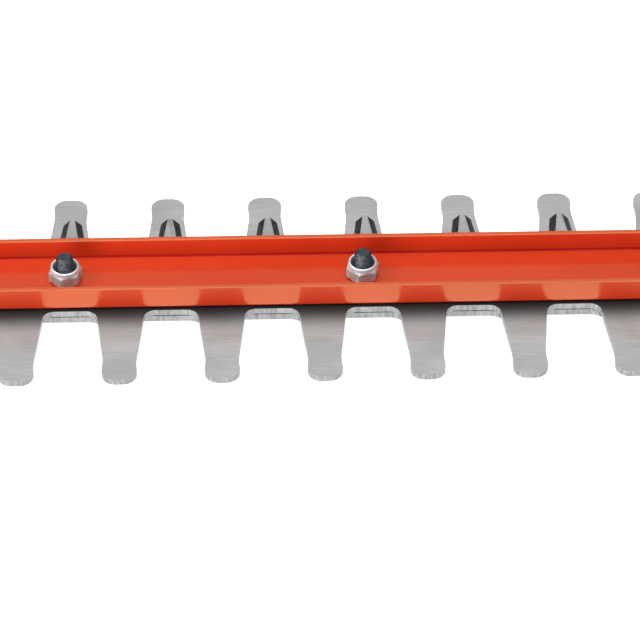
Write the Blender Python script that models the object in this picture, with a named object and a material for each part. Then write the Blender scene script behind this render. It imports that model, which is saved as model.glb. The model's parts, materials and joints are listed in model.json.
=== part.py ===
"""Cordless double-sided hedge trimmer, built as separate named pieces.

Frame: metres, +Z up, +X from the powerhead towards the blade tip. The origin is on the flat
underside of the gearcase, straight below the axis of the drive gear.
"""

import math

import bmesh
import bpy
from mathutils import Matrix, Vector

# ---------------------------------------------------------------- driving dimensions
GAP = 0.0003                # air kept between two pieces that touch
OVER = 0.001                # how far a cutter passes a face, and a joined shape sinks in

# cutter bar
PITCH = 0.034               # tooth to tooth on one side of a blade
TEETH = 15                  # teeth on each side of a blade
BLADE_THICKNESS = 0.0023
REST_SHIFT = 0.0007         # each blade stands this far past mid-stroke
CORE_MARGIN = 0.0004        # blade core wider than the channel, each side
BLUNT_REACH = 0.0478        # centre line to the tip of a blunt tooth
BLUNT_BULB_HALF = 0.00585
BLUNT_NECK_HALF = 0.0054
BLUNT_ROOT_HALF = 0.0081
BLUNT_TIP_RADIUS = 0.0046
BLUNT_LEAD = 0.0005         # blunt teeth stand this much past half-way between cutters
BULB_SETBACK = 0.005        # tip to widest part of the bulb
NECK_SETBACK = 0.0096       # tip to the neck behind the bulb
CUTTER_REACH = 0.0361       # centre line to the tip of a pointed cutter
CUTTER_TIP_HALF = 0.0010
CUTTER_TIP_GROUND = 0.00015 # sideways, the ground bevel runs out to this at the tip
CUTTER_TIP_SETBACK = 0.0025  # the tip's upper edge is ground back this far
CUTTER_SHOULDER_HALF = 0.0032
CUTTER_SHOULDER_SETBACK = 0.0024
CUTTER_ROOT_HALF = 0.0058
CUTTER_ROOT_BEVEL = 0.0029
CUTTER_BEVEL = 0.0023       # width of the ground bevel on a pointed cutter
ROOT_FILLET = 0.004
NECK_HALF = 0.011           # blade width inside the gearcase front, halved
NECK_TAPER = 0.003          # length over which the neck widens to the blade's core
YOKE_CORNER = 0.006         # cut off the yoke's rear corners
YOKE_FRONT_CORNER = 0.004
CAM_SLOT_CORNER = 0.008
BLADE_END_MARGIN = 0.017    # last tooth's centre to the end of the blade
BLADE_CORNER = 0.004        # cut off the corners at its end

# guide channel and its bolts
CHANNEL_WIDTH = 0.027
CHANNEL_HEIGHT = 0.009
CHANNEL_SHEET = 0.0019
CHANNEL_BEND = 0.0018       # outer bend radius
CHANNEL_INNER_BEND = 0.0007
CHANNEL_SEAT = 0.045        # length clamped inside the gearcase
BOLT_COUNT = 5
BOLT_SPACING = 0.1008
FIRST_BOLT_FROM_TOOTH = 0.0342
BOLT_RADIUS = 0.00295
BOLT_STAND = 0.004          # thread left above the nut
BOLT_CHAMFER = 0.0008
BOLT_HEAD_FLATS = 0.010
BOLT_HEAD_HEIGHT = 0.004
BOLT_FLANGE_RADIUS = 0.0075
BOLT_FLANGE_HEIGHT = 0.0014
NUT_FLATS = 0.010
NUT_HEX_HEIGHT = 0.0044
NUT_HEIGHT = 0.006
NUT_COLLAR_RADIUS = 0.0049
SPACER_WALL = 0.0013
BAR_SCREW_RADIUS = 0.0025
BAR_SCREW_HEAD = 0.0042
BAR_SCREW_HEAD_HEIGHT = 0.004
BAR_SCREW_SOCKET = 0.004    # across the flats of its socket
BAR_SCREW_SHARES = (0.28, 0.72)  # where the screws stand along the channel's seat

# drive
MODULE = 0.0015
GEAR_TEETH = 40
PINION_TEETH = 10
GEAR_FACE = 0.007
GEAR_BACKLASH = 0.0007
PRESSURE_ANGLE = math.radians(25)
GEAR_ADDENDUM = 0.8         # in modules, as the next two are
PINION_ADDENDUM = 0.9
DEDENDUM = 1.1
GEAR_CLEARANCE = 0.0015     # air above and below the drive gear
SHAFT_RADIUS = 0.004
CAM_WALL = 0.0023           # least metal between the shaft hole and a cam's rim
YOKE_WALL = 0.006
YOKE_FLARE = 0.003          # length over which the yoke narrows to the neck
BEARING_RADIUS = 0.011
BEARING_HEIGHT = 0.007

# gearcase
COVER_FLOOR = 0.005
UNDER_BLADES = 0.005        # cavity depth below the lower blade
CASE_WALL = 0.0085
CASE_CORNER = 0.012
CASE_ROOF = 0.0045
POCKET_CLEARANCE = 0.0013

# motor
MOTOR_RADIUS = 0.022
MOTOR_LENGTH = 0.052
MOTOR_WALL = 0.0018
MOTOR_SHAFT_RADIUS = 0.0025
MOTOR_AIR = 0.0035          # air between the armature and the can
SHAFT_CLEARANCE = 0.0015
FRONT_PLATE = 0.003
FAN_RADIUS = 0.020
FAN_HUB = 0.008
FAN_HEIGHT = 0.008
FAN_BLADES = 7
FAN_BLADE_HALF = 0.0006     # half a blade's thickness

# housing
HOUSING_HALF = 0.034        # half width over the motor
HOUSING_WALL = 0.0025
HOUSING_TOP = 0.132
HOUSING_NOSE = 0.034        # how far the motor cover reaches in front of the gear axis
GRIP_HALF = 0.017
GRIP_HEIGHT = 0.034
HAND_LOOP_LENGTH = 0.104
HAND_LOOP_HEIGHT = 0.040
LOWER_BAR = 0.020
POST_LENGTH = 0.052
MOTOR_BAY_REAR = 0.095      # rear wall of the motor cover, behind the gear axis
DOCK_HALF = 0.030
EDGE_ROUND = 0.0045
VENT_COUNT = 5
VENT_PITCH = 0.008
VENT_HALF = 0.0015
VENT_LOW = 0.034            # above the housing's floor
VENT_HIGH = 0.060
BOSS_RADIUS = 0.0048

# battery
CELL_RADIUS = 0.0106
CELL_LENGTH = 0.070
CELL_COUNT = 5
CELL_GAP = 0.0005
CASE_SKIN = 0.0022
RAIL_PLATE = 0.003
RAIL_NECK_HALF = 0.016
RAIL_HEAD_HALF = 0.021
RAIL_STEP = 0.004
SLIDE_CLEARANCE = 0.0005
LATCH_TRAVEL = 0.005
LATCH_ROOM = 0.009          # height above the cells for the latch
LATCH_HALF = 0.009
LATCH_DEPTH = 0.0085
LATCH_BUTTON_DEPTH = 0.004
CELL_SLACK = 0.001          # between the cells and the case

# controls and handles
TRIGGER_HALF = 0.007
TRIGGER_LENGTH = 0.052
TRIGGER_DROP = 0.012
TRIGGER_PIN_RADIUS = 0.002
SWITCH_SETBACK = 0.0125     # loop's top to the switch that the trigger works
LOCK_STAND = 0.004          # how far the lock-off button stands proud
LOCK_HALF = 0.009
LOCK_HALF_WIDTH = 0.006
SPRING_WIRE = 0.0004
SPRING_STEPS = 7            # sections in one turn of a spring
BAIL_RADIUS = 0.012
BAIL_HALF = 0.072
BAIL_TOP = 0.188
BAIL_LEAN = 0.018           # how far forward its top stands
BAIL_CORNER = 0.028
SWITCH_BAR_RADIUS = 0.0055
SWITCH_BAR_HALF = 0.038
SWITCH_BAR_TRAVEL = 0.005
SWITCH_POST_RADIUS = 0.003
GUARD_HALF = 0.078
GUARD_TOP = 0.165
GUARD_THICKNESS = 0.0035
HOUSING_SCREW_RADIUS = 0.0018
HOUSING_SCREW_TIP = 0.012   # how far past the middle the screws reach
SCREW_HEAD_RADIUS = 0.0036
SCREW_HEAD_HEIGHT = 0.0024
SCREW_SEAT = 0.004          # depth of the counterbore

ROUND = 12                  # sides of a small round piece
FINE = 28                   # sides of a large round piece

# ---------------------------------------------------------------- levels and places
BEARING_SEAT = BEARING_HEIGHT + 2 * GAP
CAVITY_FLOOR = COVER_FLOOR + BEARING_SEAT
LOWER_Z0 = CAVITY_FLOOR + UNDER_BLADES
LOWER_Z1 = LOWER_Z0 + BLADE_THICKNESS
UPPER_Z0 = LOWER_Z1 + GAP
UPPER_Z1 = UPPER_Z0 + BLADE_THICKNESS
CHANNEL_Z0 = UPPER_Z1 + GAP
CHANNEL_FLOOR = CHANNEL_Z0 + CHANNEL_SHEET
CHANNEL_TOP = CHANNEL_Z0 + CHANNEL_HEIGHT
GEAR_Z0 = UPPER_Z1 + GEAR_CLEARANCE
GEAR_Z1 = GEAR_Z0 + GEAR_FACE
GEAR_POCKET_TOP = max(GEAR_Z1 + GEAR_CLEARANCE, CHANNEL_TOP + 2 * GAP)
CASE_TOP = GEAR_POCKET_TOP + BEARING_SEAT + CASE_ROOF

STROKE = PITCH / 4          # each blade's travel to either side of rest
CAM_RADIUS = STROKE + SHAFT_RADIUS + GAP + CAM_WALL
# The joints move a blade in proportion to the gear's angle, while a real cam moves it with the
# angle's sine, so its slot is longer by the most that the two differ over a quarter turn.
LEAD_ANGLE = math.acos(2 / math.pi)
CAM_LEAD = STROKE * (math.sin(LEAD_ANGLE) - 2 * LEAD_ANGLE / math.pi)
SLOT_HALF_X = CAM_RADIUS + CAM_LEAD + REST_SHIFT + GAP
SLOT_HALF_Y = CAM_RADIUS + STROKE + GAP
YOKE_HALF_X = SLOT_HALF_X + YOKE_WALL
YOKE_HALF_Y = SLOT_HALF_Y + YOKE_WALL
GEAR_PITCH_RADIUS = MODULE * GEAR_TEETH / 2
PINION_PITCH_RADIUS = MODULE * PINION_TEETH / 2
CENTRE_DISTANCE = GEAR_PITCH_RADIUS + PINION_PITCH_RADIUS
GEAR_TIP = GEAR_PITCH_RADIUS + GEAR_ADDENDUM * MODULE
PINION_TIP = PINION_PITCH_RADIUS + PINION_ADDENDUM * MODULE
GEAR_POCKET = GEAR_TIP + POCKET_CLEARANCE
PINION_POCKET = PINION_TIP + POCKET_CLEARANCE
YOKE_POCKET_X = YOKE_HALF_X + YOKE_FLARE + STROKE + REST_SHIFT + POCKET_CLEARANCE
YOKE_POCKET_Y = YOKE_HALF_Y + POCKET_CLEARANCE
CASE_HALF = max(GEAR_POCKET, YOKE_POCKET_Y) + CASE_WALL
CASE_REAR = -max(CENTRE_DISTANCE + max(MOTOR_RADIUS, PINION_POCKET), YOKE_POCKET_X) - 0.003
CHANNEL_START = max(GEAR_POCKET, YOKE_POCKET_X) + 0.004
CASE_FRONT = CHANNEL_START + CHANNEL_SEAT

CORE_HALF = CHANNEL_WIDTH / 2 + CORE_MARGIN
NECK_END = CASE_FRONT + STROKE + REST_SHIFT + 0.003
# half a pitch further back stands the first cutter of the lower blade
FIRST_TOOTH = NECK_END + NECK_TAPER + OVER + CUTTER_ROOT_HALF + ROOT_FILLET + BLUNT_LEAD + PITCH / 2
LAST_TOOTH = FIRST_TOOTH + PITCH * (TEETH - 1)
BLADE_END = LAST_TOOTH + PITCH / 2 + BLADE_END_MARGIN / 2
CHANNEL_END = BLADE_END - BLADE_END_MARGIN / 2
BOLT_PLACES = [FIRST_TOOTH + FIRST_BOLT_FROM_TOOTH + i * BOLT_SPACING for i in range(BOLT_COUNT)]
SPACER_RADIUS = BOLT_RADIUS + GAP + SPACER_WALL
SLOT_WIDTH_HALF = SPACER_RADIUS + GAP
SLOT_REACH = STROKE + REST_SHIFT + GAP
NUT_Z0 = CHANNEL_FLOOR + GAP
BOLT_END = NUT_Z0 + NUT_HEIGHT + BOLT_STAND

MOTOR_X = -CENTRE_DISTANCE
PLATE_Z0 = CASE_TOP + GAP
CAN_Z0 = PLATE_Z0 + FRONT_PLATE + GAP
CAN_Z1 = CAN_Z0 + MOTOR_LENGTH
FAN_Z0 = CAN_Z1 + 0.0015
MOTOR_SHAFT_Z1 = FAN_Z0 + FAN_HEIGHT + 0.001

HOUSING_Z0 = CASE_TOP + GAP
LOOP_FRONT = -MOTOR_BAY_REAR - 0.012
LOOP_REAR = LOOP_FRONT - HAND_LOOP_LENGTH
HOUSING_REAR = LOOP_REAR - POST_LENGTH
LOOP_TOP = HOUSING_TOP - GRIP_HEIGHT
LOOP_BOTTOM = LOOP_TOP - HAND_LOOP_HEIGHT
HANDLE_BOTTOM = LOOP_BOTTOM - LOWER_BAR
DOCK_BOTTOM = 0.016

BATTERY_FRONT = HOUSING_REAR - SLIDE_CLEARANCE
CELL_PITCH = 2 * CELL_RADIUS + CELL_GAP
CELL_X = BATTERY_FRONT - RAIL_PLATE - GAP - CELL_SLACK - CELL_RADIUS
BATTERY_REAR = CELL_X - CELL_RADIUS - CELL_SLACK - CASE_SKIN
BATTERY_HALF = CELL_LENGTH / 2 + 2 * CELL_SLACK + CASE_SKIN
CELL_FIRST_Z = CASE_SKIN + CELL_SLACK + CELL_RADIUS
CELLS_TOP = CELL_FIRST_Z + (CELL_COUNT - 1) * CELL_PITCH + CELL_RADIUS
BATTERY_TOP = CELLS_TOP + LATCH_ROOM + CASE_SKIN
DOCK_TOP = BATTERY_TOP + 0.004
RAIL_BOTTOM = DOCK_BOTTOM + 0.012
LATCH_Z = CELLS_TOP + 0.0015

PIN_X = LOOP_FRONT - 0.008
PIN_Z = LOOP_TOP + 0.008
LOCK_X = -MOTOR_BAY_REAR + 0.002
GRIP_INNER = GRIP_HALF - HOUSING_WALL

BAIL_X = 0.006
BAIL_FOOT_Z = HOUSING_Z0 + 0.040
GUARD_X = HOUSING_NOSE + 0.010
SCREW_PLACES = [
    (HOUSING_NOSE - 0.012, HOUSING_Z0 + 0.012, HOUSING_HALF),
    (-MOTOR_BAY_REAR + 0.011, HOUSING_Z0 + 0.012, HOUSING_HALF),
    (LOOP_REAR - 0.020, HANDLE_BOTTOM + 0.010, GRIP_HALF),
    (LOOP_REAR - 0.014, HOUSING_TOP - 0.014, GRIP_HALF),
]


# ---------------------------------------------------------------- helpers
def clear_scene():
    for obj in list(bpy.data.objects):
        bpy.data.objects.remove(obj, do_unlink=True)


def material(name, colour, roughness, metallic=0.0):
    mat = bpy.data.materials.new(name)
    mat.use_nodes = True
    shader = mat.node_tree.nodes["Principled BSDF"]
    shader.inputs["Base Color"].default_value = (*colour, 1.0)
    shader.inputs["Roughness"].default_value = roughness
    shader.inputs["Metallic"].default_value = metallic
    return mat


def add_object(name, mesh, mat, origin=(0, 0, 0), smooth=True):
    """Put a mesh, made in the part's own frame, into the scene with its origin where it turns."""
    mesh.transform(Matrix.Translation(-Vector(origin)))
    obj = bpy.data.objects.new(name, mesh)
    obj.location = origin
    bpy.context.scene.collection.objects.link(obj)
    mesh.materials.append(mat)
    if smooth:
        mesh.shade_smooth()
        mesh.set_sharp_from_angle(angle=math.radians(35))
    return obj


def from_bmesh(bm, name="mesh"):
    bmesh.ops.recalc_face_normals(bm, faces=bm.faces)
    mesh = bpy.data.meshes.new(name)
    bm.to_mesh(mesh)
    bm.free()
    return mesh


def lift(point, height, plane):
    """A point of a flat outline, raised off its plane."""
    u, v = point
    if plane == "XY":
        return (u, v, height)
    if plane == "XZ":
        return (u, height, v)
    return (height, u, v)


def prism(outline, low, high, plane="XY", top=None):
    """A solid between an outline at one height and the same outline, or another, at a second."""
    bm = bmesh.new()
    bottom_ring = [bm.verts.new(lift(p, low, plane)) for p in outline]
    top_ring = [bm.verts.new(lift(p, high, plane)) for p in (top or outline)]
    bm.faces.new(bottom_ring)
    bm.faces.new(top_ring)
    for i, vert in enumerate(bottom_ring):
        j = (i + 1) % len(bottom_ring)
        bm.faces.new((vert, bottom_ring[j], top_ring[j], top_ring[i]))
    return from_bmesh(bm)


def round_corners(corners, steps=4):
    """An outline from (u, v, radius) corners, each rounded with an arc."""
    outline = []
    count = len(corners)
    for i, (u, v, radius) in enumerate(corners):
        here = Vector((u, v))
        before = Vector(corners[i - 1][:2]) - here
        after = Vector(corners[(i + 1) % count][:2]) - here
        if radius <= 0:
            outline.append((u, v))
            continue
        half = before.angle(after) / 2
        reach = min(radius / math.tan(half), before.length * 0.49, after.length * 0.49)
        start = here + before.normalized() * reach
        end = here + after.normalized() * reach
        for k in range(steps + 1):
            t = k / steps
            # a quadratic blend stays inside the corner and meets both sides square on
            point = start.lerp(here, t).lerp(here.lerp(end, t), t)
            outline.append((point.x, point.y))
    return outline


def circle(radius, sides, centre=(0.0, 0.0), turn=0.0):
    return [
        (
            centre[0] + radius * math.cos(turn + 2 * math.pi * k / sides),
            centre[1] + radius * math.sin(turn + 2 * math.pi * k / sides),
        )
        for k in range(sides)
    ]


def slot_outline(half_width, reach, centre, sides=10):
    """A slot along X: two half circles joined by straight sides."""
    outline = []
    for end, start in ((1, -math.pi / 2), (-1, math.pi / 2)):
        for k in range(sides // 2 + 1):
            angle = start + math.pi * k / (sides // 2)
            outline.append((
                centre + end * reach + half_width * math.cos(angle),
                half_width * math.sin(angle),
            ))
    return outline


def hexagon(flats, centre=(0.0, 0.0)):
    return circle(flats / math.sqrt(3), 6, centre)


def cylinder(radius, low, high, centre=(0.0, 0.0), sides=ROUND, plane="XY"):
    return prism(circle(radius, sides, centre), low, high, plane)


def ring(outer, inner, low, high, centre=(0.0, 0.0), sides=ROUND, plane="XY"):
    """A tube with square ends."""
    bm = bmesh.new()
    rows = []
    for radius, height in ((outer, low), (outer, high), (inner, high), (inner, low)):
        rows.append([bm.verts.new(lift(p, height, plane)) for p in circle(radius, sides, centre)])
    for row, following in zip(rows, rows[1:] + rows[:1]):
        for i in range(sides):
            j = (i + 1) % sides
            bm.faces.new((row[i], row[j], following[j], following[i]))
    return from_bmesh(bm)


def box(low, high):
    outline = [(low[0], low[1]), (high[0], low[1]), (high[0], high[1]), (low[0], high[1])]
    return prism(outline, low[2], high[2])


def stack(layers, centre=(0.0, 0.0)):
    """One solid from outlines of equal point counts at rising heights, centred on an axis."""
    bm = bmesh.new()
    rows = []
    for outline, height in layers:
        rows.append([bm.verts.new((u + centre[0], v + centre[1], height)) for u, v in outline])
    bm.faces.new(rows[0])
    bm.faces.new(rows[-1])
    for row, following in zip(rows, rows[1:]):
        for i in range(len(row)):
            j = (i + 1) % len(row)
            bm.faces.new((row[i], row[j], following[j], following[i]))
    return from_bmesh(bm)


def tube(points, radius, sides):
    """A round tube along a path, its section carried along without twist."""
    bm = bmesh.new()
    path = [Vector(p) for p in points]
    side = None
    rows = []
    for i, here in enumerate(path):
        along = (path[min(i + 1, len(path) - 1)] - path[max(i - 1, 0)]).normalized()
        if side is None:
            side = along.orthogonal().normalized()
        side = (side - along * side.dot(along)).normalized()
        other = along.cross(side)
        rows.append([
            bm.verts.new(here + side * (radius * u) + other * (radius * v))
            for u, v in circle(1.0, sides)
        ])
    bm.faces.new(rows[0])
    bm.faces.new(rows[-1])
    for row, following in zip(rows, rows[1:]):
        for i in range(sides):
            j = (i + 1) % sides
            bm.faces.new((row[i], row[j], following[j], following[i]))
    return from_bmesh(bm)


def tool_object(mesh, name):
    """A hidden shape that another piece's Boolean uses."""
    obj = bpy.data.objects.new(name, mesh)
    obj.hide_render = True
    obj.display_type = "WIRE"
    bpy.context.scene.collection.objects.link(obj)
    return obj


def combine(target, mesh, operation):
    modifier = target.modifiers.new(operation.title(), "BOOLEAN")
    modifier.operation = operation
    modifier.solver = "EXACT"
    modifier.object = tool_object(mesh, f"tool_{target.name}_{len(target.modifiers)}")


def cut(target, mesh):
    combine(target, mesh, "DIFFERENCE")


def fuse(target, mesh):
    combine(target, mesh, "UNION")


def round_edges(target, width, segments=2, angle=50):
    bevel = target.modifiers.new("Bevel", "BEVEL")
    bevel.width = width
    bevel.segments = segments
    bevel.limit_method = "ANGLE"
    bevel.angle_limit = math.radians(angle)


# ---------------------------------------------------------------- blades
def blunt_tooth(centre):
    """Half outline points of a blunt tooth, from its left root to its right root, as (x, |y|)."""
    tip = BLUNT_REACH
    root = CORE_HALF
    left = [
        (-BLUNT_ROOT_HALF - ROOT_FILLET, root),
        (-BLUNT_ROOT_HALF - ROOT_FILLET * 0.3, root + ROOT_FILLET * 0.3),
        (-BLUNT_ROOT_HALF, root + ROOT_FILLET),
        (-BLUNT_NECK_HALF, tip - NECK_SETBACK),
        (-BLUNT_BULB_HALF, tip - BULB_SETBACK),
        (-BLUNT_BULB_HALF + BLUNT_TIP_RADIUS * 0.3, tip - BLUNT_TIP_RADIUS * 0.3),
        (-BLUNT_BULB_HALF + BLUNT_TIP_RADIUS, tip),
    ]
    points = left + [(-x, y) for x, y in reversed(left)]
    return [(centre + x, y, 0.0) for x, y in points]


def pointed_cutter(centre):
    """The same for a pointed cutter; the third value is how far its top edge is ground back."""
    tip = CUTTER_REACH
    root = CORE_HALF
    left = [
        (-CUTTER_ROOT_HALF - ROOT_FILLET, root, 0.0),
        (-CUTTER_ROOT_HALF - ROOT_FILLET * 0.3, root + ROOT_FILLET * 0.3, 0.0),
        (-CUTTER_ROOT_HALF, root + ROOT_FILLET, CUTTER_ROOT_BEVEL),
        (-CUTTER_SHOULDER_HALF, tip - CUTTER_SHOULDER_SETBACK, CUTTER_BEVEL),
        (-CUTTER_TIP_HALF, tip, CUTTER_TIP_GROUND),
    ]
    right = [(-x, y, -ground) for x, y, ground in reversed(left)]
    return [(centre + x, y, ground) for x, y, ground in left + right]


def blade_outline():
    """Rear, teeth and front outlines as (x, y, ground back in x), with pointed cutters on +Y."""
    first = FIRST_TOOTH - BLUNT_LEAD
    upper_side = []
    lower_side = []
    for k in range(TEETH):
        upper_side += pointed_cutter(first + k * PITCH)
        lower_side += [(x, -y, 0.0) for x, y, _ in blunt_tooth(first + BLUNT_LEAD + k * PITCH + PITCH / 2)]
    end_x = BLADE_END + PITCH / 4
    rear = [
        (NECK_END + NECK_TAPER, -CORE_HALF, 0.0),
        (NECK_END, -NECK_HALF, 0.0),
        (YOKE_HALF_X + YOKE_FLARE, -NECK_HALF, 0.0),
        (YOKE_HALF_X, -NECK_HALF - YOKE_FRONT_CORNER, 0.0),
        (YOKE_HALF_X, -YOKE_HALF_Y + YOKE_FRONT_CORNER, 0.0),
        (YOKE_HALF_X - YOKE_FRONT_CORNER, -YOKE_HALF_Y, 0.0),
        (-YOKE_HALF_X + YOKE_CORNER, -YOKE_HALF_Y, 0.0),
        (-YOKE_HALF_X, -YOKE_HALF_Y + YOKE_CORNER, 0.0),
    ]
    rear += [(x, -y, ground) for x, y, ground in reversed(rear)]
    front = [(end_x - BLADE_CORNER, CORE_HALF, 0.0), (end_x, CORE_HALF - BLADE_CORNER, 0.0)]
    front += [(x, -y, ground) for x, y, ground in reversed(front)]
    return rear, upper_side + front + list(reversed(lower_side))


def ground_tip(y):
    """The tip of a pointed cutter, ground back towards the blade's core."""
    at_tip = abs(y) > CUTTER_REACH - OVER / 2
    return y - math.copysign(CUTTER_TIP_SETBACK, y) if at_tip else y


def add_blade(name, mat, flipped):
    """Both blades are one part; the lower one is turned over about X and set half a pitch on."""
    rear, teeth = blade_outline()
    shift = -REST_SHIFT if flipped else REST_SHIFT
    tooth_shift = -PITCH / 2 if flipped else 0.0
    low, high = (LOWER_Z0, LOWER_Z1) if flipped else (UPPER_Z0, UPPER_Z1)
    side = -1 if flipped else 1
    placed = [(x + shift, side * y, 0.0) for x, y, _ in rear]
    placed += [(x + shift + tooth_shift, side * y, ground) for x, y, ground in teeth]
    sharp_face = [(x, y) for x, y, _ in placed]
    ground_face = [(x + ground, ground_tip(y) if ground else y) for x, y, ground in placed]
    if flipped:
        mesh = prism(ground_face, low, high, top=sharp_face)
    else:
        mesh = prism(sharp_face, low, high, top=ground_face)
    blade = add_object(name, mesh, mat)
    slot = round_corners([
        (shift - SLOT_HALF_X, -SLOT_HALF_Y, CAM_SLOT_CORNER),
        (shift + SLOT_HALF_X, -SLOT_HALF_Y, CAM_SLOT_CORNER),
        (shift + SLOT_HALF_X, SLOT_HALF_Y, CAM_SLOT_CORNER),
        (shift - SLOT_HALF_X, SLOT_HALF_Y, CAM_SLOT_CORNER),
    ])
    cut(blade, prism(slot, low - OVER, high + OVER))
    for x in BOLT_PLACES:
        outline = slot_outline(SLOT_WIDTH_HALF, SLOT_REACH, x + shift)
        cut(blade, prism(outline, low - OVER, high + OVER))
    return blade


# ---------------------------------------------------------------- guide channel and bolts
def add_channel(mat):
    half = CHANNEL_WIDTH / 2
    inner = half - CHANNEL_SHEET
    bend = CHANNEL_BEND
    section = round_corners([
        (-half, CHANNEL_TOP, 0.0),
        (-half, CHANNEL_Z0, bend),
        (half, CHANNEL_Z0, bend),
        (half, CHANNEL_TOP, 0.0),
        (inner, CHANNEL_TOP, 0.0),
        (inner, CHANNEL_FLOOR, CHANNEL_INNER_BEND),
        (-inner, CHANNEL_FLOOR, CHANNEL_INNER_BEND),
        (-inner, CHANNEL_TOP, 0.0),
    ], steps=3)
    channel = add_object("guide_channel", prism(section, CHANNEL_START, CHANNEL_END, "YZ"), mat)
    for x in BOLT_PLACES:
        hole = cylinder(BOLT_RADIUS + GAP, CHANNEL_Z0 - OVER, CHANNEL_FLOOR + OVER, (x, 0.0))
        cut(channel, hole)
    for x in bar_screw_places():
        radius = BAR_SCREW_RADIUS + GAP
        cut(channel, cylinder(radius, CHANNEL_Z0 - OVER, CHANNEL_FLOOR + OVER, (x, 0.0)))


def bar_screw_places():
    return [CHANNEL_START + CHANNEL_SEAT * share for share in BAR_SCREW_SHARES]


def add_bolt(index, x, mat):
    flange_top = LOWER_Z0 - GAP
    head_top = flange_top - BOLT_FLANGE_HEIGHT
    bolt = add_object(
        f"blade_bolt_{index}",
        stack([
            (circle(BOLT_FLANGE_RADIUS, ROUND), head_top),
            (circle(BOLT_FLANGE_RADIUS, ROUND), flange_top),
        ], (x, 0.0)),
        mat,
    )
    head_low = head_top - BOLT_HEAD_HEIGHT
    fuse(bolt, prism(hexagon(BOLT_HEAD_FLATS, (x, 0.0)), head_low, head_top + OVER / 2))
    shank = [
        (circle(BOLT_RADIUS, ROUND), flange_top - OVER / 2),
        (circle(BOLT_RADIUS, ROUND), BOLT_END - BOLT_CHAMFER),
        (circle(BOLT_RADIUS - BOLT_CHAMFER, ROUND), BOLT_END),
    ]
    fuse(bolt, stack(shank, (x, 0.0)))


def add_nut(index, x, mat):
    nut = add_object(
        f"blade_nut_{index}",
        prism(hexagon(NUT_FLATS, (x, 0.0)), NUT_Z0, NUT_Z0 + NUT_HEX_HEIGHT),
        mat,
    )
    collar_low = NUT_Z0 + NUT_HEX_HEIGHT - OVER / 2
    fuse(nut, cylinder(NUT_COLLAR_RADIUS, collar_low, NUT_Z0 + NUT_HEIGHT, (x, 0.0)))
    cut(nut, cylinder(BOLT_RADIUS + GAP, NUT_Z0 - OVER, NUT_Z0 + NUT_HEIGHT + OVER, (x, 0.0)))


def add_spacer(index, x, mat):
    low = LOWER_Z0
    high = CHANNEL_Z0 - GAP
    mesh = ring(SPACER_RADIUS, BOLT_RADIUS + GAP, low, high, (x, 0.0))
    add_object(f"blade_spacer_{index}", mesh, mat)


def add_bar_screw(index, x, mat):
    low = CASE_TOP + GAP
    high = low + BAR_SCREW_HEAD_HEIGHT
    head = cylinder(BAR_SCREW_HEAD, low, high, (x, 0.0))
    screw = add_object(f"bar_screw_{index}", head, mat)
    fuse(screw, cylinder(BAR_SCREW_RADIUS, CHANNEL_Z0, low + OVER, (x, 0.0)))
    socket = hexagon(BAR_SCREW_SOCKET, (x, 0.0))
    cut(screw, prism(socket, high - BAR_SCREW_HEAD_HEIGHT / 2, high + OVER))


# ---------------------------------------------------------------- gears and cams
def involute(angle):
    return math.tan(angle) - angle


def gear_outline(teeth, tip, root, centre, turn):
    """Involute flanks with straight lines below the base circle, thinned for backlash."""
    pitch_radius = MODULE * teeth / 2
    base = pitch_radius * math.cos(PRESSURE_ANGLE)
    thick = math.pi * MODULE / 2 - GEAR_BACKLASH / 2
    pitch_half = thick / (2 * pitch_radius)
    flank = []
    for radius in (root, max(base, root), pitch_radius, tip):
        inside = max(radius, base)
        half = pitch_half + involute(PRESSURE_ANGLE) - involute(math.acos(base / inside))
        flank.append((radius, half))
    if flank[1][0] - flank[0][0] < 1e-6:
        flank.pop(0)
    outline = []
    for k in range(teeth):
        middle = turn + 2 * math.pi * k / teeth
        for radius, half in flank:
            outline.append((radius, middle - half))
        for radius, half in reversed(flank):
            outline.append((radius, middle + half))
    return [(centre + r * math.cos(a), r * math.sin(a)) for r, a in outline]


def add_drive(steel, dark_steel):
    root = GEAR_PITCH_RADIUS - DEDENDUM * MODULE
    # a tooth of the gear faces the motor, and a gap of the pinion meets it
    turn = math.pi / GEAR_TEETH if GEAR_TEETH % 2 else 0.0
    gear = add_object(
        "drive_gear",
        prism(gear_outline(GEAR_TEETH, GEAR_TIP, root, 0.0, turn), GEAR_Z0, GEAR_Z1),
        steel,
    )
    cut(gear, cylinder(SHAFT_RADIUS + GAP, GEAR_Z0 - OVER, GEAR_Z1 + OVER))
    shaft_low = COVER_FLOOR + 2 * GAP
    add_object(
        "gear_shaft",
        cylinder(SHAFT_RADIUS, shaft_low, GEAR_POCKET_TOP + BEARING_SEAT - 2 * GAP),
        dark_steel,
    )
    for name, low, high, side in (
        ("lower_cam", LOWER_Z0, LOWER_Z1, 1),
        ("upper_cam", UPPER_Z0, UPPER_Z1, -1),
    ):
        disc = cylinder(CAM_RADIUS, low, high, (0.0, side * STROKE), FINE)
        cam = add_object(name, disc, steel)
        cut(cam, cylinder(SHAFT_RADIUS + GAP, low - OVER, high + OVER))
    for name, low in (
        ("lower_bearing", COVER_FLOOR + GAP),
        ("upper_bearing", GEAR_POCKET_TOP + GAP),
    ):
        mesh = ring(BEARING_RADIUS, SHAFT_RADIUS + GAP, low, low + BEARING_HEIGHT, sides=FINE)
        add_object(name, mesh, dark_steel)


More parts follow.
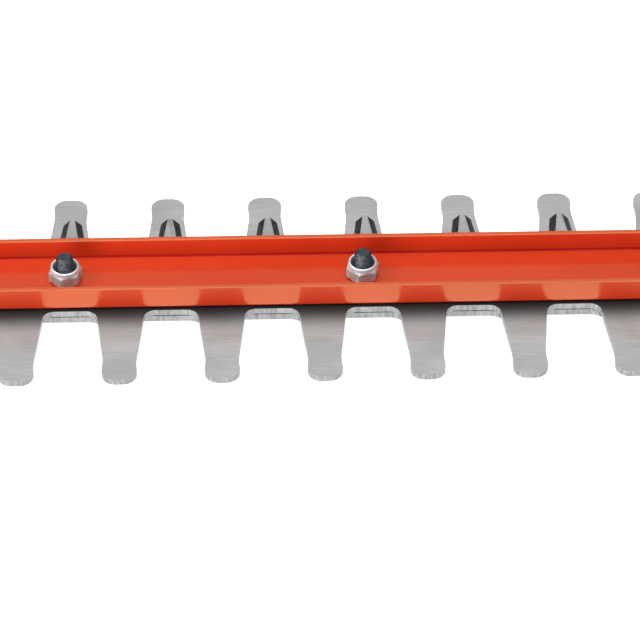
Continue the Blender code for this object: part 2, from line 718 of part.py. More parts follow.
def case_outline(margin=0.0):
    """Plan of the gearcase: broad over the gear, narrow where the bar leaves it."""
    half = CASE_HALF - margin
    nose = CHANNEL_WIDTH / 2 + 0.010 - margin
    rear = CASE_REAR + margin
    front = CASE_FRONT - margin
    shoulder = CHANNEL_START - 0.010
    corners = [
        (rear, -half, CASE_CORNER + 0.010),
        (shoulder, -half, CASE_CORNER + 0.012),
        (front, -nose, CASE_CORNER * 0.5),
        (front, nose, CASE_CORNER * 0.5),
        (shoulder, half, CASE_CORNER + 0.012),
        (rear, half, CASE_CORNER + 0.010),
    ]
    return round_corners(corners, 6)


def add_gearcase(mat):
    cover = add_object("gearcase_cover", prism(case_outline(), 0.0, CHANNEL_Z0 - GAP), mat)
    yoke_room = [
        (-YOKE_POCKET_X, -YOKE_POCKET_Y, 0.004),
        (YOKE_POCKET_X, -YOKE_POCKET_Y, 0.004),
        (YOKE_POCKET_X, YOKE_POCKET_Y, 0.004),
        (-YOKE_POCKET_X, YOKE_POCKET_Y, 0.004),
    ]
    cut(cover, prism(round_corners(yoke_room, 2), CAVITY_FLOOR, CHANNEL_Z0 + OVER))
    slot_half = NECK_HALF + POCKET_CLEARANCE
    cut(cover, box(
        (0.0, -slot_half, LOWER_Z0 - 0.0008),
        (CASE_FRONT + OVER, slot_half, CHANNEL_Z0 + OVER),
    ))
    seat = BEARING_RADIUS + GAP
    cut(cover, cylinder(seat, COVER_FLOOR, CAVITY_FLOOR + OVER, sides=FINE))

    body = add_object("gearcase_body", prism(case_outline(), CHANNEL_Z0, CASE_TOP), mat)
    cut(body, cylinder(GEAR_POCKET, CHANNEL_Z0 - OVER, GEAR_POCKET_TOP, sides=FINE))
    motor = (MOTOR_X, 0.0)
    cut(body, cylinder(PINION_POCKET, CHANNEL_Z0 - OVER, CASE_TOP + OVER, motor, FINE))
    cut(body, cylinder(seat, GEAR_POCKET_TOP - OVER, CASE_TOP - CASE_ROOF, sides=FINE))
    channel_half = CHANNEL_WIDTH / 2 + GAP
    cut(body, box(
        (CHANNEL_START - GAP, -channel_half, CHANNEL_Z0 - OVER),
        (CASE_FRONT + OVER, channel_half, CHANNEL_TOP + GAP),
    ))
    for x in bar_screw_places():
        radius = BAR_SCREW_RADIUS + GAP
        cut(body, cylinder(radius, CHANNEL_TOP, CASE_TOP + OVER, (x, 0.0)))


# ---------------------------------------------------------------- motor
def add_motor(steel, dark_steel, plastic):
    centre = (MOTOR_X, 0.0)
    shaft_hole = MOTOR_SHAFT_RADIUS + SHAFT_CLEARANCE
    add_object(
        "motor_front_plate",
        ring(MOTOR_RADIUS, shaft_hole, PLATE_Z0, PLATE_Z0 + FRONT_PLATE, centre, FINE),
        dark_steel,
    )
    can = add_object("motor_can", cylinder(MOTOR_RADIUS, CAN_Z0, CAN_Z1, centre, FINE), steel)
    cut(can, cylinder(MOTOR_RADIUS - MOTOR_WALL, CAN_Z0 - OVER, CAN_Z1 - MOTOR_WALL, centre, FINE))
    cut(can, cylinder(shaft_hole, CAN_Z1 - 0.004, CAN_Z1 + OVER, centre))

    origin = (MOTOR_X, 0.0, CAN_Z0)
    rotor_radius = MOTOR_RADIUS - MOTOR_WALL - MOTOR_AIR
    armature = add_object(
        "motor_armature",
        cylinder(rotor_radius, CAN_Z0 + 0.006, CAN_Z1 - 0.009, centre, FINE),
        dark_steel,
        origin,
    )
    fuse(armature, cylinder(MOTOR_SHAFT_RADIUS, GEAR_Z0 - OVER / 2, MOTOR_SHAFT_Z1, centre))

    tooth_turn = math.pi / PINION_TEETH
    root = PINION_PITCH_RADIUS - DEDENDUM * MODULE
    outline = gear_outline(PINION_TEETH, PINION_TIP, root, MOTOR_X, tooth_turn)
    pinion = add_object("motor_pinion", prism(outline, GEAR_Z0, GEAR_Z1), steel, origin)
    hole = cylinder(MOTOR_SHAFT_RADIUS + GAP, GEAR_Z0 - OVER, GEAR_Z1 + OVER, centre)
    cut(pinion, hole)

    fan = add_object(
        "cooling_fan",
        ring(FAN_HUB, MOTOR_SHAFT_RADIUS + GAP, FAN_Z0, FAN_Z0 + FAN_HEIGHT, centre),
        plastic,
        origin,
    )
    hub_inner = FAN_HUB - 1.5 * OVER
    fuse(fan, ring(FAN_RADIUS, hub_inner, FAN_Z0 + 0.0004, FAN_Z0 + 0.0018, centre, FINE))
    for k in range(FAN_BLADES):
        blade = box(
            (FAN_HUB - 2 * OVER, -FAN_BLADE_HALF, FAN_Z0 + OVER),
            (FAN_RADIUS - OVER, FAN_BLADE_HALF, FAN_Z0 + FAN_HEIGHT - OVER),
        )
        turn = Matrix.Rotation(2 * math.pi * (k + 0.5) / FAN_BLADES, 4, "Z")
        blade.transform(Matrix.Translation((MOTOR_X, 0.0, 0.0)) @ turn)
        fuse(fan, blade)


# ---------------------------------------------------------------- housing
def motor_cover_outline(inset=0.0):
    """Side view of the motor cover."""
    low = HOUSING_Z0 + inset
    top = HOUSING_TOP - inset
    front = HOUSING_NOSE - inset
    rear = -MOTOR_BAY_REAR + inset
    corners = [
        (rear, low, 0.010),
        (front - 0.004, low, 0.010),
        (front, low + 0.020, 0.016),
        (front - 0.016, top - 0.020, 0.024),
        (front - 0.040, top, 0.026),
        (rear, top, 0.010),
    ]
    return round_corners(corners, 4)


def handle_outline(inset=0.0):
    """Side view of the rear handle, without its hand loop."""
    front = -MOTOR_BAY_REAR + 0.012 + inset
    rear = HOUSING_REAR + inset
    corners = [
        (front, HANDLE_BOTTOM + inset, 0.0),
        (front, HOUSING_TOP - inset, 0.0),
        (LOOP_REAR, HOUSING_TOP - inset, 0.020),
        (rear, DOCK_TOP - inset, 0.010),
        (rear, DOCK_BOTTOM + inset, 0.010),
        (LOOP_REAR - 0.016 + inset, DOCK_BOTTOM + inset, 0.010),
        (LOOP_REAR + inset, HANDLE_BOTTOM + inset, 0.014),
    ]
    return round_corners(corners, 4)


def loop_outline(grow=0.0):
    """The opening that the hand goes through."""
    corners = [
        (LOOP_REAR - grow, LOOP_BOTTOM - grow, 0.016 + grow),
        (LOOP_FRONT + grow, LOOP_BOTTOM - grow, 0.016 + grow),
        (LOOP_FRONT + grow, LOOP_TOP + grow, 0.014 + grow),
        (LOOP_REAR - grow, LOOP_TOP + grow, 0.016 + grow),
    ]
    return round_corners(corners, 5)


def half_prism(outline, side, half, inner=GAP / 2):
    """A solid in one half of the tool, from the joint at its middle out to a half width."""
    return prism(outline, *sorted((side * inner, side * half)), "XZ")


def add_housing_half(name, side, mat):
    wall = HOUSING_WALL
    cover = half_prism(motor_cover_outline(), side, HOUSING_HALF)
    shell = add_object(name, beveled(cover, EDGE_ROUND, side * HOUSING_HALF), mat)
    for outline, half in (
        (handle_outline(), GRIP_HALF),
        (dock_outline(), DOCK_HALF),
    ):
        fuse(shell, beveled(half_prism(outline, side, half), EDGE_ROUND, side * half))
    cut(shell, prism(loop_outline(), -0.05, 0.05, "XZ"))

    # hollow inside; the dock stays solid behind its slot
    for outline, half in (
        (motor_cover_outline(wall), HOUSING_HALF - wall),
        (handle_cavity_outline(), GRIP_INNER),
    ):
        mesh = prism(outline, *sorted((side * half, -side * 0.002)), "XZ")
        cut(shell, mesh)
    fuse(shell, rim_mesh(side))
    cut(shell, prism(loop_outline(), -0.05, 0.05, "XZ"))

    # air slots beside the motor
    for k in range(VENT_COUNT):
        x = MOTOR_X + (k - (VENT_COUNT - 1) / 2) * VENT_PITCH
        slot = round_corners([
            (x - VENT_HALF, HOUSING_Z0 + VENT_LOW, VENT_HALF),
            (x + VENT_HALF, HOUSING_Z0 + VENT_LOW, VENT_HALF),
            (x + VENT_HALF, HOUSING_Z0 + VENT_HIGH, VENT_HALF),
            (x - VENT_HALF, HOUSING_Z0 + VENT_HIGH, VENT_HALF),
        ], 2)
        out = side * (HOUSING_HALF + OVER)
        cut(shell, prism(slot, *sorted((out, side * (HOUSING_HALF - 2 * wall))), "XZ"))

    cut_battery_slot(shell)
    cut_control_openings(shell)
    add_screw_bosses(shell, side)
    motor_hole = MOTOR_RADIUS + 2 * GAP
    floor_top = HOUSING_Z0 + wall + OVER
    cut(shell, cylinder(motor_hole, HOUSING_Z0 - OVER, floor_top, (MOTOR_X, 0.0), FINE))


def beveled(mesh, width, outer):
    """The mesh with the edges of its outer face rounded."""
    bm = bmesh.new()
    bm.from_mesh(mesh)
    edges = [e for e in bm.edges if all(abs(v.co.y - outer) < 1e-6 for v in e.verts)]
    bmesh.ops.bevel(bm, geom=edges, offset=width, segments=3, profile=0.5, affect="EDGES")
    return from_bmesh(bm)


def dock_outline():
    """Side view of the block at the rear that the battery slides on."""
    rear = HOUSING_REAR
    front = HOUSING_REAR + 0.022
    corners = [
        (rear, DOCK_BOTTOM, 0.0),
        (front, DOCK_BOTTOM, 0.010),
        (front, DOCK_TOP, 0.010),
        (rear, DOCK_TOP, 0.0),
    ]
    return round_corners(corners, 3)


def handle_cavity_outline():
    """Inside of the handle: the grip, the rear post and the way into the motor cover."""
    wall = HOUSING_WALL
    front = -MOTOR_BAY_REAR + 0.020
    rear = HOUSING_REAR + RAIL_STEP * 2 + GAP + 2 * wall
    corners = [
        (front, HANDLE_BOTTOM + wall, 0.0),
        (front, HOUSING_TOP - wall, 0.0),
        (LOOP_REAR, HOUSING_TOP - wall, 0.018),
        (rear, DOCK_TOP - wall - 0.004, 0.004),
        (rear, DOCK_BOTTOM + wall, 0.004),
        (LOOP_REAR - 0.014 + wall, DOCK_BOTTOM + wall, 0.008),
        (LOOP_REAR + wall, HANDLE_BOTTOM + wall, 0.012),
    ]
    return round_corners(corners, 4)


def rim_mesh(side):
    """A wall all round the hand loop, before the loop itself is cut."""
    outline = loop_outline(HOUSING_WALL)
    return half_prism(outline, side, GRIP_HALF - OVER)


def cut_battery_slot(shell):
    """A T-shaped slot, open at the top, for the battery rail."""
    step = RAIL_STEP
    clear = SLIDE_CLEARANCE
    rear = HOUSING_REAR
    for half, depth, start in (
        (RAIL_NECK_HALF + clear, step + clear, -OVER),
        (RAIL_HEAD_HALF + clear, 2 * step + clear, step - clear),
    ):
        cut(shell, box(
            (rear + start, -half, RAIL_BOTTOM - clear),
            (rear + depth, half, DOCK_TOP + 0.010),
        ))


def cut_control_openings(shell):
    half = TRIGGER_HALF + 0.0006
    cut(shell, box(
        (PIN_X - TRIGGER_LENGTH - 0.003, -half, LOOP_TOP - 0.006),
        (PIN_X + 0.007, half, LOOP_TOP + 0.006),
    ))
    cut(shell, box(
        (LOCK_X - LOCK_HALF - 0.0005, -LOCK_HALF_WIDTH - 0.0005, HOUSING_TOP - 2 * HOUSING_WALL),
        (LOCK_X + LOCK_HALF + 0.0005, LOCK_HALF_WIDTH + 0.0005, HOUSING_TOP + OVER),
    ))


def add_screw_bosses(shell, side):
    """Posts for the screws that join the halves: the right half takes the heads."""
    for x, z, half in SCREW_PLACES:
        inner = GAP / 2
        outer = half - 0.001
        reach = sorted((side * inner, side * outer))
        fuse(shell, cylinder(BOSS_RADIUS, *reach, (x, z), ROUND, "XZ"))
        hole = HOUSING_SCREW_RADIUS + GAP
        if side < 0:
            cut(shell, cylinder(hole, -half - OVER, OVER, (x, z), ROUND, "XZ"))
            head = SCREW_HEAD_RADIUS + GAP
            cut(shell, cylinder(head, -half - OVER, -half + SCREW_SEAT, (x, z), ROUND, "XZ"))
        else:
            tip = HOUSING_SCREW_TIP + OVER / 2
            cut(shell, cylinder(hole, -OVER, tip, (x, z), ROUND, "XZ"))


def add_housing_screw(index, x, z, half, mat):
    seat = -half + SCREW_SEAT - GAP
    head = add_object(
        f"housing_screw_{index}",
        cylinder(SCREW_HEAD_RADIUS, seat - SCREW_HEAD_HEIGHT, seat, (x, z), ROUND, "XZ"),
        mat,
    )
    shank = (seat - OVER, HOUSING_SCREW_TIP)
    fuse(head, cylinder(HOUSING_SCREW_RADIUS, *shank, (x, z), ROUND, "XZ"))


# ---------------------------------------------------------------- controls
def add_trigger(plastic, steel):
    pin = (PIN_X, 0.0, PIN_Z)
    rear = PIN_X - TRIGGER_LENGTH
    top = LOOP_TOP + 0.004
    corners = [
        (PIN_X + 0.005, top - 0.006, 0.003),
        (PIN_X + 0.005, PIN_Z + 0.005, 0.003),
        (PIN_X - 0.006, PIN_Z + 0.005, 0.003),
        (PIN_X - 0.012, top, 0.002),
        (rear, top - 0.002, 0.002),
        (rear + 0.002, LOOP_TOP - 0.006, 0.003),
        (rear + 0.018, LOOP_TOP - TRIGGER_DROP * 0.6, 0.008),
        (PIN_X - 0.008, LOOP_TOP - TRIGGER_DROP, 0.008),
    ]
    outline = round_corners(corners, 3)
    trigger = add_object(
        "trigger", prism(outline, -TRIGGER_HALF, TRIGGER_HALF, "XZ"), plastic, pin
    )
    round_edges(trigger, 0.0012, 2, 60)
    bore = cylinder(TRIGGER_PIN_RADIUS + GAP, -0.02, 0.02, (PIN_X, PIN_Z), ROUND, "XZ")
    cut(trigger, bore)
    pin_half = GRIP_INNER - GAP
    add_object(
        "trigger_pin",
        cylinder(TRIGGER_PIN_RADIUS, -pin_half, pin_half, (PIN_X, PIN_Z), ROUND, "XZ"),
        steel,
        pin,
    )
    add_object(
        "power_switch",
        box(
            (rear - 0.004, -0.006, LOOP_TOP + SWITCH_SETBACK),
            (rear + 0.020, 0.006, HOUSING_TOP - HOUSING_WALL - 0.0005),
        ),
        plastic,
    )
    spring_x = PIN_X - 0.022
    add_object(
        "trigger_spring",
        spring(spring_x, top + 0.0011, HOUSING_TOP - HOUSING_WALL - 0.0011, 0.0035, 5),
        steel,
    )


def spring(x, low, high, radius, turns):
    """A coil spring standing on end."""
    count = turns * SPRING_STEPS
    points = []
    for k in range(count + 1):
        angle = 2 * math.pi * k / SPRING_STEPS
        height = low + (high - low) * k / count
        points.append((x + radius * math.cos(angle), radius * math.sin(angle), height))
    return tube(points, SPRING_WIRE, 4)


def add_lock_button(plastic, steel):
    low = HOUSING_TOP - HOUSING_WALL - GAP - 0.003
    button = add_object(
        "lock_off_button",
        box(
            (LOCK_X - LOCK_HALF, -LOCK_HALF_WIDTH, low),
            (LOCK_X + LOCK_HALF, LOCK_HALF_WIDTH, HOUSING_TOP + LOCK_STAND),
        ),
        plastic,
        (LOCK_X, 0.0, HOUSING_TOP),
    )
    round_edges(button, 0.0015, 2, 60)
    flange = box(
        (LOCK_X - LOCK_HALF - 0.002, -LOCK_HALF_WIDTH - 0.0025, low),
        (LOCK_X + LOCK_HALF + 0.002, LOCK_HALF_WIDTH + 0.0025, low + 0.003),
    )
    fuse(button, flange)
    add_object("lock_off_spring", spring(LOCK_X, low - 0.014, low - 0.0008, 0.004, 4), steel)
    add_object(
        "lock_off_seat",
        box(
            (LOCK_X - 0.007, -GRIP_INNER + GAP, low - 0.018),
            (LOCK_X + 0.007, GRIP_INNER - GAP, low - 0.0148),
        ),
        plastic,
    )


def add_front_handle(plastic, soft):
    """A bail across the tool for the second hand, with the switch bar under its top."""
    foot_y = HOUSING_HALF + GAP
    top_x = BAIL_X + BAIL_LEAN
    corners = [
        (BAIL_X, -foot_y, BAIL_FOOT_Z),
        (BAIL_X, -BAIL_HALF, BAIL_FOOT_Z),
        (top_x, -BAIL_HALF + 0.004, BAIL_TOP),
        (top_x, BAIL_HALF - 0.004, BAIL_TOP),
        (BAIL_X, BAIL_HALF, BAIL_FOOT_Z),
        (BAIL_X, foot_y, BAIL_FOOT_Z),
    ]
    path = smooth_path([Vector(c) for c in corners], BAIL_CORNER, 6)
    handle = add_object("front_handle", tube(path, BAIL_RADIUS, ROUND), plastic)
    bar_z = BAIL_TOP - BAIL_RADIUS - SWITCH_BAR_TRAVEL - SWITCH_BAR_RADIUS - 0.0008
    post_top = BAIL_TOP - BAIL_RADIUS + 0.005
    origin = (top_x, 0.0, bar_z)
    bar = add_object(
        "front_switch_bar",
        cylinder(
            SWITCH_BAR_RADIUS, -SWITCH_BAR_HALF, SWITCH_BAR_HALF, (top_x, bar_z), ROUND, "XZ"
        ),
        soft,
        origin,
    )
    round_edges(bar, 0.0015, 2, 60)
    for y in (-SWITCH_BAR_HALF * 0.7, SWITCH_BAR_HALF * 0.7):
        fuse(bar, cylinder(SWITCH_POST_RADIUS, bar_z, post_top, (top_x, y)))
        bore_top = post_top + SWITCH_BAR_TRAVEL + OVER
        hole = cylinder(SWITCH_POST_RADIUS + GAP, BAIL_TOP - 0.03, bore_top, (top_x, y))
        cut(handle, hole)


def smooth_path(corners, radius, steps):
    """A polyline with each inner corner rounded."""
    path = [corners[0]]
    for before, here, after in zip(corners, corners[1:], corners[2:]):
        into = before - here
        out = after - here
        reach = min(radius, into.length * 0.49, out.length * 0.49)
        start = here + into.normalized() * reach
        end = here + out.normalized() * reach
        for k in range(steps + 1):
            t = k / steps
            path.append(start.lerp(here, t).lerp(here.lerp(end, t), t))
    path.append(corners[-1])
    return path


def add_guard(mat):
    low = CASE_TOP + GAP
    corners = [
        (-0.024, low, 0.002),
        (0.024, low, 0.002),
        (0.030, low + 0.028, 0.012),
        (GUARD_HALF, low + 0.050, 0.016),
        (GUARD_HALF - 0.006, GUARD_TOP, 0.022),
        (-GUARD_HALF + 0.006, GUARD_TOP, 0.022),
        (-GUARD_HALF, low + 0.050, 0.016),
        (-0.030, low + 0.028, 0.012),
    ]
    outline = round_corners(corners, 4)
    guard = add_object(
        "hand_guard", prism(outline, GUARD_X, GUARD_X + GUARD_THICKNESS, "YZ"), mat
    )
    fuse(guard, box((GUARD_X + 0.001, -0.020, low), (GUARD_X + 0.012, 0.020, low + 0.003)))
    for x in bar_screw_places():
        radius = BAR_SCREW_HEAD + GAP
        cut(guard, cylinder(radius, low - OVER, low + 0.006, (x, 0.0)))


# ---------------------------------------------------------------- battery
def add_battery(case_mat, plastic, cell_mat, button_mat):
    half = BATTERY_HALF
    rear = BATTERY_REAR
    joint_x = BATTERY_FRONT - RAIL_PLATE - GAP
    outline = round_corners([
        (rear, -half, 0.006),
        (joint_x, -half, 0.0),
        (joint_x, half, 0.0),
        (rear, half, 0.006),
    ], 3)
    case = add_object("battery_case", prism(outline, 0.0, BATTERY_TOP), case_mat)
    round_edges(case, 0.0025, 2, 60)
    skin = CASE_SKIN
    cut(case, box(
        (rear + skin, -half + skin, skin),
        (joint_x + OVER, half - skin, BATTERY_TOP - skin),
    ))
    slack = SLIDE_CLEARANCE
    button_low = BATTERY_TOP - 0.004
    latch_rear = joint_x - LATCH_DEPTH
    cut(case, box(
        (latch_rear - LATCH_TRAVEL - slack, -LATCH_HALF - slack, button_low),
        (joint_x + OVER, LATCH_HALF + slack, BATTERY_TOP + OVER),
    ))

    plate = add_object(
        "battery_rail_plate",
        box((BATTERY_FRONT - RAIL_PLATE, -half, 0.0), (BATTERY_FRONT, half, BATTERY_TOP)),
        plastic,
    )
    rail_top = LATCH_Z - 0.003
    step = RAIL_STEP
    fuse(plate, box(
        (BATTERY_FRONT - OVER, -RAIL_NECK_HALF, RAIL_BOTTOM),
        (HOUSING_REAR + step + OVER / 2, RAIL_NECK_HALF, rail_top),
    ))
    fuse(plate, box(
        (HOUSING_REAR + step, -RAIL_HEAD_HALF, RAIL_BOTTOM),
        (HOUSING_REAR + 2 * step, RAIL_HEAD_HALF, rail_top),
    ))
    cut(plate, box(
        (BATTERY_FRONT - RAIL_PLATE - OVER, -LATCH_HALF - slack, LATCH_Z - 0.001),
        (BATTERY_FRONT + OVER, LATCH_HALF + slack, BATTERY_TOP + OVER),
    ))

    latch = add_object(
        "battery_latch",
        box(
            (latch_rear, -LATCH_HALF, LATCH_Z),
            (HOUSING_REAR + 0.003, LATCH_HALF, BATTERY_TOP - skin - 0.001),
        ),
        button_mat,
        (joint_x, 0.0, LATCH_Z),
    )
    fuse(latch, box(
        (latch_rear, -LATCH_HALF, button_low),
        (latch_rear + LATCH_BUTTON_DEPTH, LATCH_HALF, BATTERY_TOP + 0.006),
    ))
    for k in range(CELL_COUNT):
        z = CELL_FIRST_Z + k * CELL_PITCH
        mesh = cylinder(CELL_RADIUS, -CELL_LENGTH / 2, CELL_LENGTH / 2, (CELL_X, z), ROUND, "XZ")
        add_object(f"battery_cell_{k + 1}", mesh, cell_mat)


def add_electronics(board_mat):
    front = LOOP_REAR - 0.0285
    board = box((front - 0.0015, -0.011, LOOP_BOTTOM + 0.002), (front, 0.011, LOOP_TOP))
    add_object("control_board", board, board_mat)


# ---------------------------------------------------------------- the whole tool
def build():
    clear_scene()
    blade_steel = material("blade_steel", (0.45, 0.45, 0.44), 0.35, 1.0)
    red_paint = material("red_paint", (0.68, 0.06, 0.02), 0.3)
    zinc = material("zinc", (0.75, 0.76, 0.78), 0.25, 1.0)
    black_steel = material("black_steel", (0.05, 0.055, 0.06), 0.4, 0.8)
    steel = material("steel", (0.5, 0.5, 0.52), 0.35, 1.0)
    aluminium = material("cast_aluminium", (0.6, 0.6, 0.61), 0.45, 1.0)
    black = material("black_plastic", (0.03, 0.03, 0.032), 0.55)
    grey = material("grey_plastic", (0.10, 0.10, 0.105), 0.6)
    soft = material("soft_grip", (0.045, 0.045, 0.047), 0.8)
    red_plastic = material("red_plastic", (0.62, 0.055, 0.02), 0.4)
    wrap = material("cell_wrap", (0.05, 0.2, 0.35), 0.4)
    board = material("board_green", (0.02, 0.16, 0.07), 0.5)

    add_blade("upper_blade", blade_steel, False)
    add_blade("lower_blade", blade_steel, True)
    add_channel(red_paint)
    for i, x in enumerate(BOLT_PLACES, 1):
        add_bolt(i, x, black_steel)
        add_nut(i, x, zinc)
        add_spacer(i, x, steel)
    for i, x in enumerate(bar_screw_places(), 1):
        add_bar_screw(i, x, black_steel)

    add_drive(steel, black_steel)
    add_gearcase(aluminium)
    add_motor(steel, black_steel, black)

    add_housing_half("housing_left", 1, red_plastic)
    add_housing_half("housing_right", -1, red_plastic)
    for i, (x, z, half) in enumerate(SCREW_PLACES, 1):
        add_housing_screw(i, x, z, half, black_steel)

    add_trigger(black, steel)
    add_lock_button(grey, steel)
    add_front_handle(black, soft)
    add_guard(grey)
    add_battery(black, grey, wrap, red_plastic)
    add_electronics(board)


build()
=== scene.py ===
# %% [markdown]
# # A cordless hedge trimmer
# A hedge trimmer cuts with two flat toothed blades that slide against each other below a steel
# channel. A motor, a small gear and two cams push the blades in opposite directions, so the tool
# hardly shakes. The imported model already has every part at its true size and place. This lesson
# gives each part that can be seen its fine shape and its finish, and leaves the rest as it is.

# %% Load the frame
import json
import math

import bmesh
import bpy
from mathutils import Matrix, Vector

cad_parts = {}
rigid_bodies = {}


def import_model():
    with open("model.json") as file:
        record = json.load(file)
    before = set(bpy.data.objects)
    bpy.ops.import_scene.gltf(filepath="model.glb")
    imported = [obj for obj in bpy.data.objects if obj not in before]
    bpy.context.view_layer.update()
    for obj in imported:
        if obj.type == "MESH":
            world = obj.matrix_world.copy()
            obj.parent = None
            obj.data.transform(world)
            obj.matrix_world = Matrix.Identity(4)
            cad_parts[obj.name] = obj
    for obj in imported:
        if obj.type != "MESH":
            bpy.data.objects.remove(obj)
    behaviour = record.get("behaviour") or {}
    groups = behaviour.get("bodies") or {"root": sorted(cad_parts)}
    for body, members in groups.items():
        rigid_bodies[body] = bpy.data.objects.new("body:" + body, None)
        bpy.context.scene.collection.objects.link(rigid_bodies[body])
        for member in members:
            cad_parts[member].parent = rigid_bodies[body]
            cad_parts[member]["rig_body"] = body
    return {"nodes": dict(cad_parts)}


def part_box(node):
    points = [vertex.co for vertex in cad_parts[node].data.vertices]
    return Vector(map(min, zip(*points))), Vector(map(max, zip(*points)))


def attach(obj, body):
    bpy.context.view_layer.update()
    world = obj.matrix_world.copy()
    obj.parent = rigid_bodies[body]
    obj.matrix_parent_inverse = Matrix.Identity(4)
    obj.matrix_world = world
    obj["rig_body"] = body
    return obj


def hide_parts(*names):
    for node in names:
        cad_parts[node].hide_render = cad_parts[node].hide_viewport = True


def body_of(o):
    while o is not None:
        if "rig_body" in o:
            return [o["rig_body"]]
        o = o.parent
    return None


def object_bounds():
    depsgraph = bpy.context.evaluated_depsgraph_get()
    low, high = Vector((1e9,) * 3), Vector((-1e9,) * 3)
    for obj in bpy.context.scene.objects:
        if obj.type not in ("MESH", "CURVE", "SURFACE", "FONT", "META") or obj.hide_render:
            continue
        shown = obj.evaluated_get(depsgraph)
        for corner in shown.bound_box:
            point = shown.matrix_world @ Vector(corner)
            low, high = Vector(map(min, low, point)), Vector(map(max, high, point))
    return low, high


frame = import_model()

cad_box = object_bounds()
print("nodes", len(frame["nodes"]), "box", [tuple(round(v, 4) for v in c) for c in cad_box])

# %% [markdown]
# ## Reading places from the frame
# Each part's box says where its faces are, so a finer part can be drawn on exactly the same
# levels. Only sizes that a box can't tell, such as a fillet or a bevel, are written down here.

# %% Levels of the cutter bar
blade_low, blade_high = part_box("upper_blade")
under_low, under_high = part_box("lower_blade")
channel_low, channel_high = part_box("guide_channel")
bolt_boxes = [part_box(f"blade_bolt_{k}") for k in range(1, 6)]
nut_low, nut_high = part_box("blade_nut_1")
bolt_places = [(low.x + high.x) / 2 for low, high in bolt_boxes]
AT_BOLTS = {"count": len(bolt_places), "start": (bolt_places[0], 0.0, 0.0),
            "step": (bolt_places[1] - bolt_places[0], 0.0, 0.0)}
print("bolts at", [round(x, 4) for x in bolt_places])

# %% [markdown]
# ## Small helpers for meshes
# Three ways of making a shape are enough for this tool: a flat outline pushed through a
# thickness, a profile turned round an axis, and a round section carried along a path. Every
# finished object stays at the origin, and its place is in its mesh.


# %% Turn a bmesh into an object
def settle(name, bm, finishes=(), sharp=32):
    """Make a smooth-shaded object at the origin, with its real corners kept crisp."""
    bmesh.ops.recalc_face_normals(bm, faces=bm.faces)
    mesh = bpy.data.meshes.new(name)
    bm.to_mesh(mesh)
    bm.free()
    for finish in finishes:
        mesh.materials.append(finish)
    smooth(mesh, sharp)
    obj = bpy.data.objects.new(name, mesh)
    bpy.context.scene.collection.objects.link(obj)
    return obj


def smooth(mesh, sharp):
    mesh.shade_smooth()
    mesh.set_sharp_from_angle(angle=math.radians(sharp))


def baked(obj):
    """Keep what the modifiers make as the object's own mesh, and take the modifiers off."""
    graph = bpy.context.evaluated_depsgraph_get()
    mesh = bpy.data.meshes.new_from_object(obj.evaluated_get(graph))
    obj.modifiers.clear()
    obj.data = mesh
    return obj


def discard(obj):
    bpy.data.objects.remove(obj, do_unlink=True)


# %% Soften an object's corners with a real bevel
def ease(obj, width, segments=2, angle=35, edge_finish=0, crisp=False):
    """Round off the corners. Light catches on them, which is what makes an edge look made.
    A crisp edge is a flat chamfer instead."""
    bevel = obj.modifiers.new("Eased edges", "BEVEL")
    bevel.width = width
    bevel.segments = segments
    bevel.limit_method = "ANGLE"
    bevel.angle_limit = math.radians(angle)
    bevel.harden_normals = not crisp
    bevel.material = edge_finish
    obj.data.shade_smooth()
    baked(obj)
    if crisp:
        obj.data.set_sharp_from_angle(angle=math.radians(angle))
    return obj


# %% Join or carve one shape with another
def shape_with(obj, tool, operation="DIFFERENCE"):
    """Apply a Boolean at once and throw its tool away."""
    boolean = obj.modifiers.new("Shape", "BOOLEAN")
    boolean.operation = operation
    boolean.solver = "EXACT"
    boolean.object = tool
    baked(obj)
    discard(tool)
    return obj


# %% Flat outlines
def arc_corners(corners, steps=8):
    """An outline from (u, v, radius) corners, each one a true arc that meets both its sides."""
    outline = []
    for i, (u, v, radius) in enumerate(corners):
        here = Vector((u, v))
        into = (Vector(corners[i - 1][:2]) - here).normalized()
        away = (Vector(corners[(i + 1) % len(corners)][:2]) - here).normalized()
        half = into.angle(away) / 2
        if radius <= 0 or half > math.radians(89.5):
            outline.append((u, v))
            continue
        centre = here + (into + away).normalized() * (radius / math.sin(half))
        reach = radius / math.tan(half)
        first = here + into * reach - centre
        last = here + away * reach - centre
        sweep = first.angle_signed(last)
        for k in range(steps + 1):
            spot = centre + Matrix.Rotation(-sweep * k / steps, 2) @ first
            outline.append((spot.x, spot.y))
    return outline


def rounded(low, high, radius, steps=8):
    """The outline of a rectangle with four rounded corners."""
    return arc_corners([(low[0], low[1], radius), (high[0], low[1], radius),
                        (high[0], high[1], radius), (low[0], high[1], radius)], steps)


def lift(point, height, plane):
    """A point of a flat outline, raised off its plane."""
    u, v = point
    return {"XY": (u, v, height), "XZ": (u, height, v), "YZ": (height, u, v)}[plane]


def stitched(bm, loops, ring=False):
    """Join each loop of points to the next. The ends are closed, unless it all runs in a ring."""
    pairs = list(zip(loops, loops[1:]))
    if ring:
        pairs.append((loops[-1], loops[0]))
    else:
        bm.faces.new(loops[0])
        bm.faces.new(loops[-1])
    for one, other in pairs:
        for i in range(len(one)):
            j = (i + 1) % len(one)
            bm.faces.new((one[i], one[j], other[j], other[i]))
    return bm


def slab(outline, low, high, plane="XY"):
    """An outline pushed through a thickness."""
    bm = bmesh.new()
    return stitched(bm, [[bm.verts.new(lift(p, level, plane)) for p in outline]
                         for level in (low, high)])


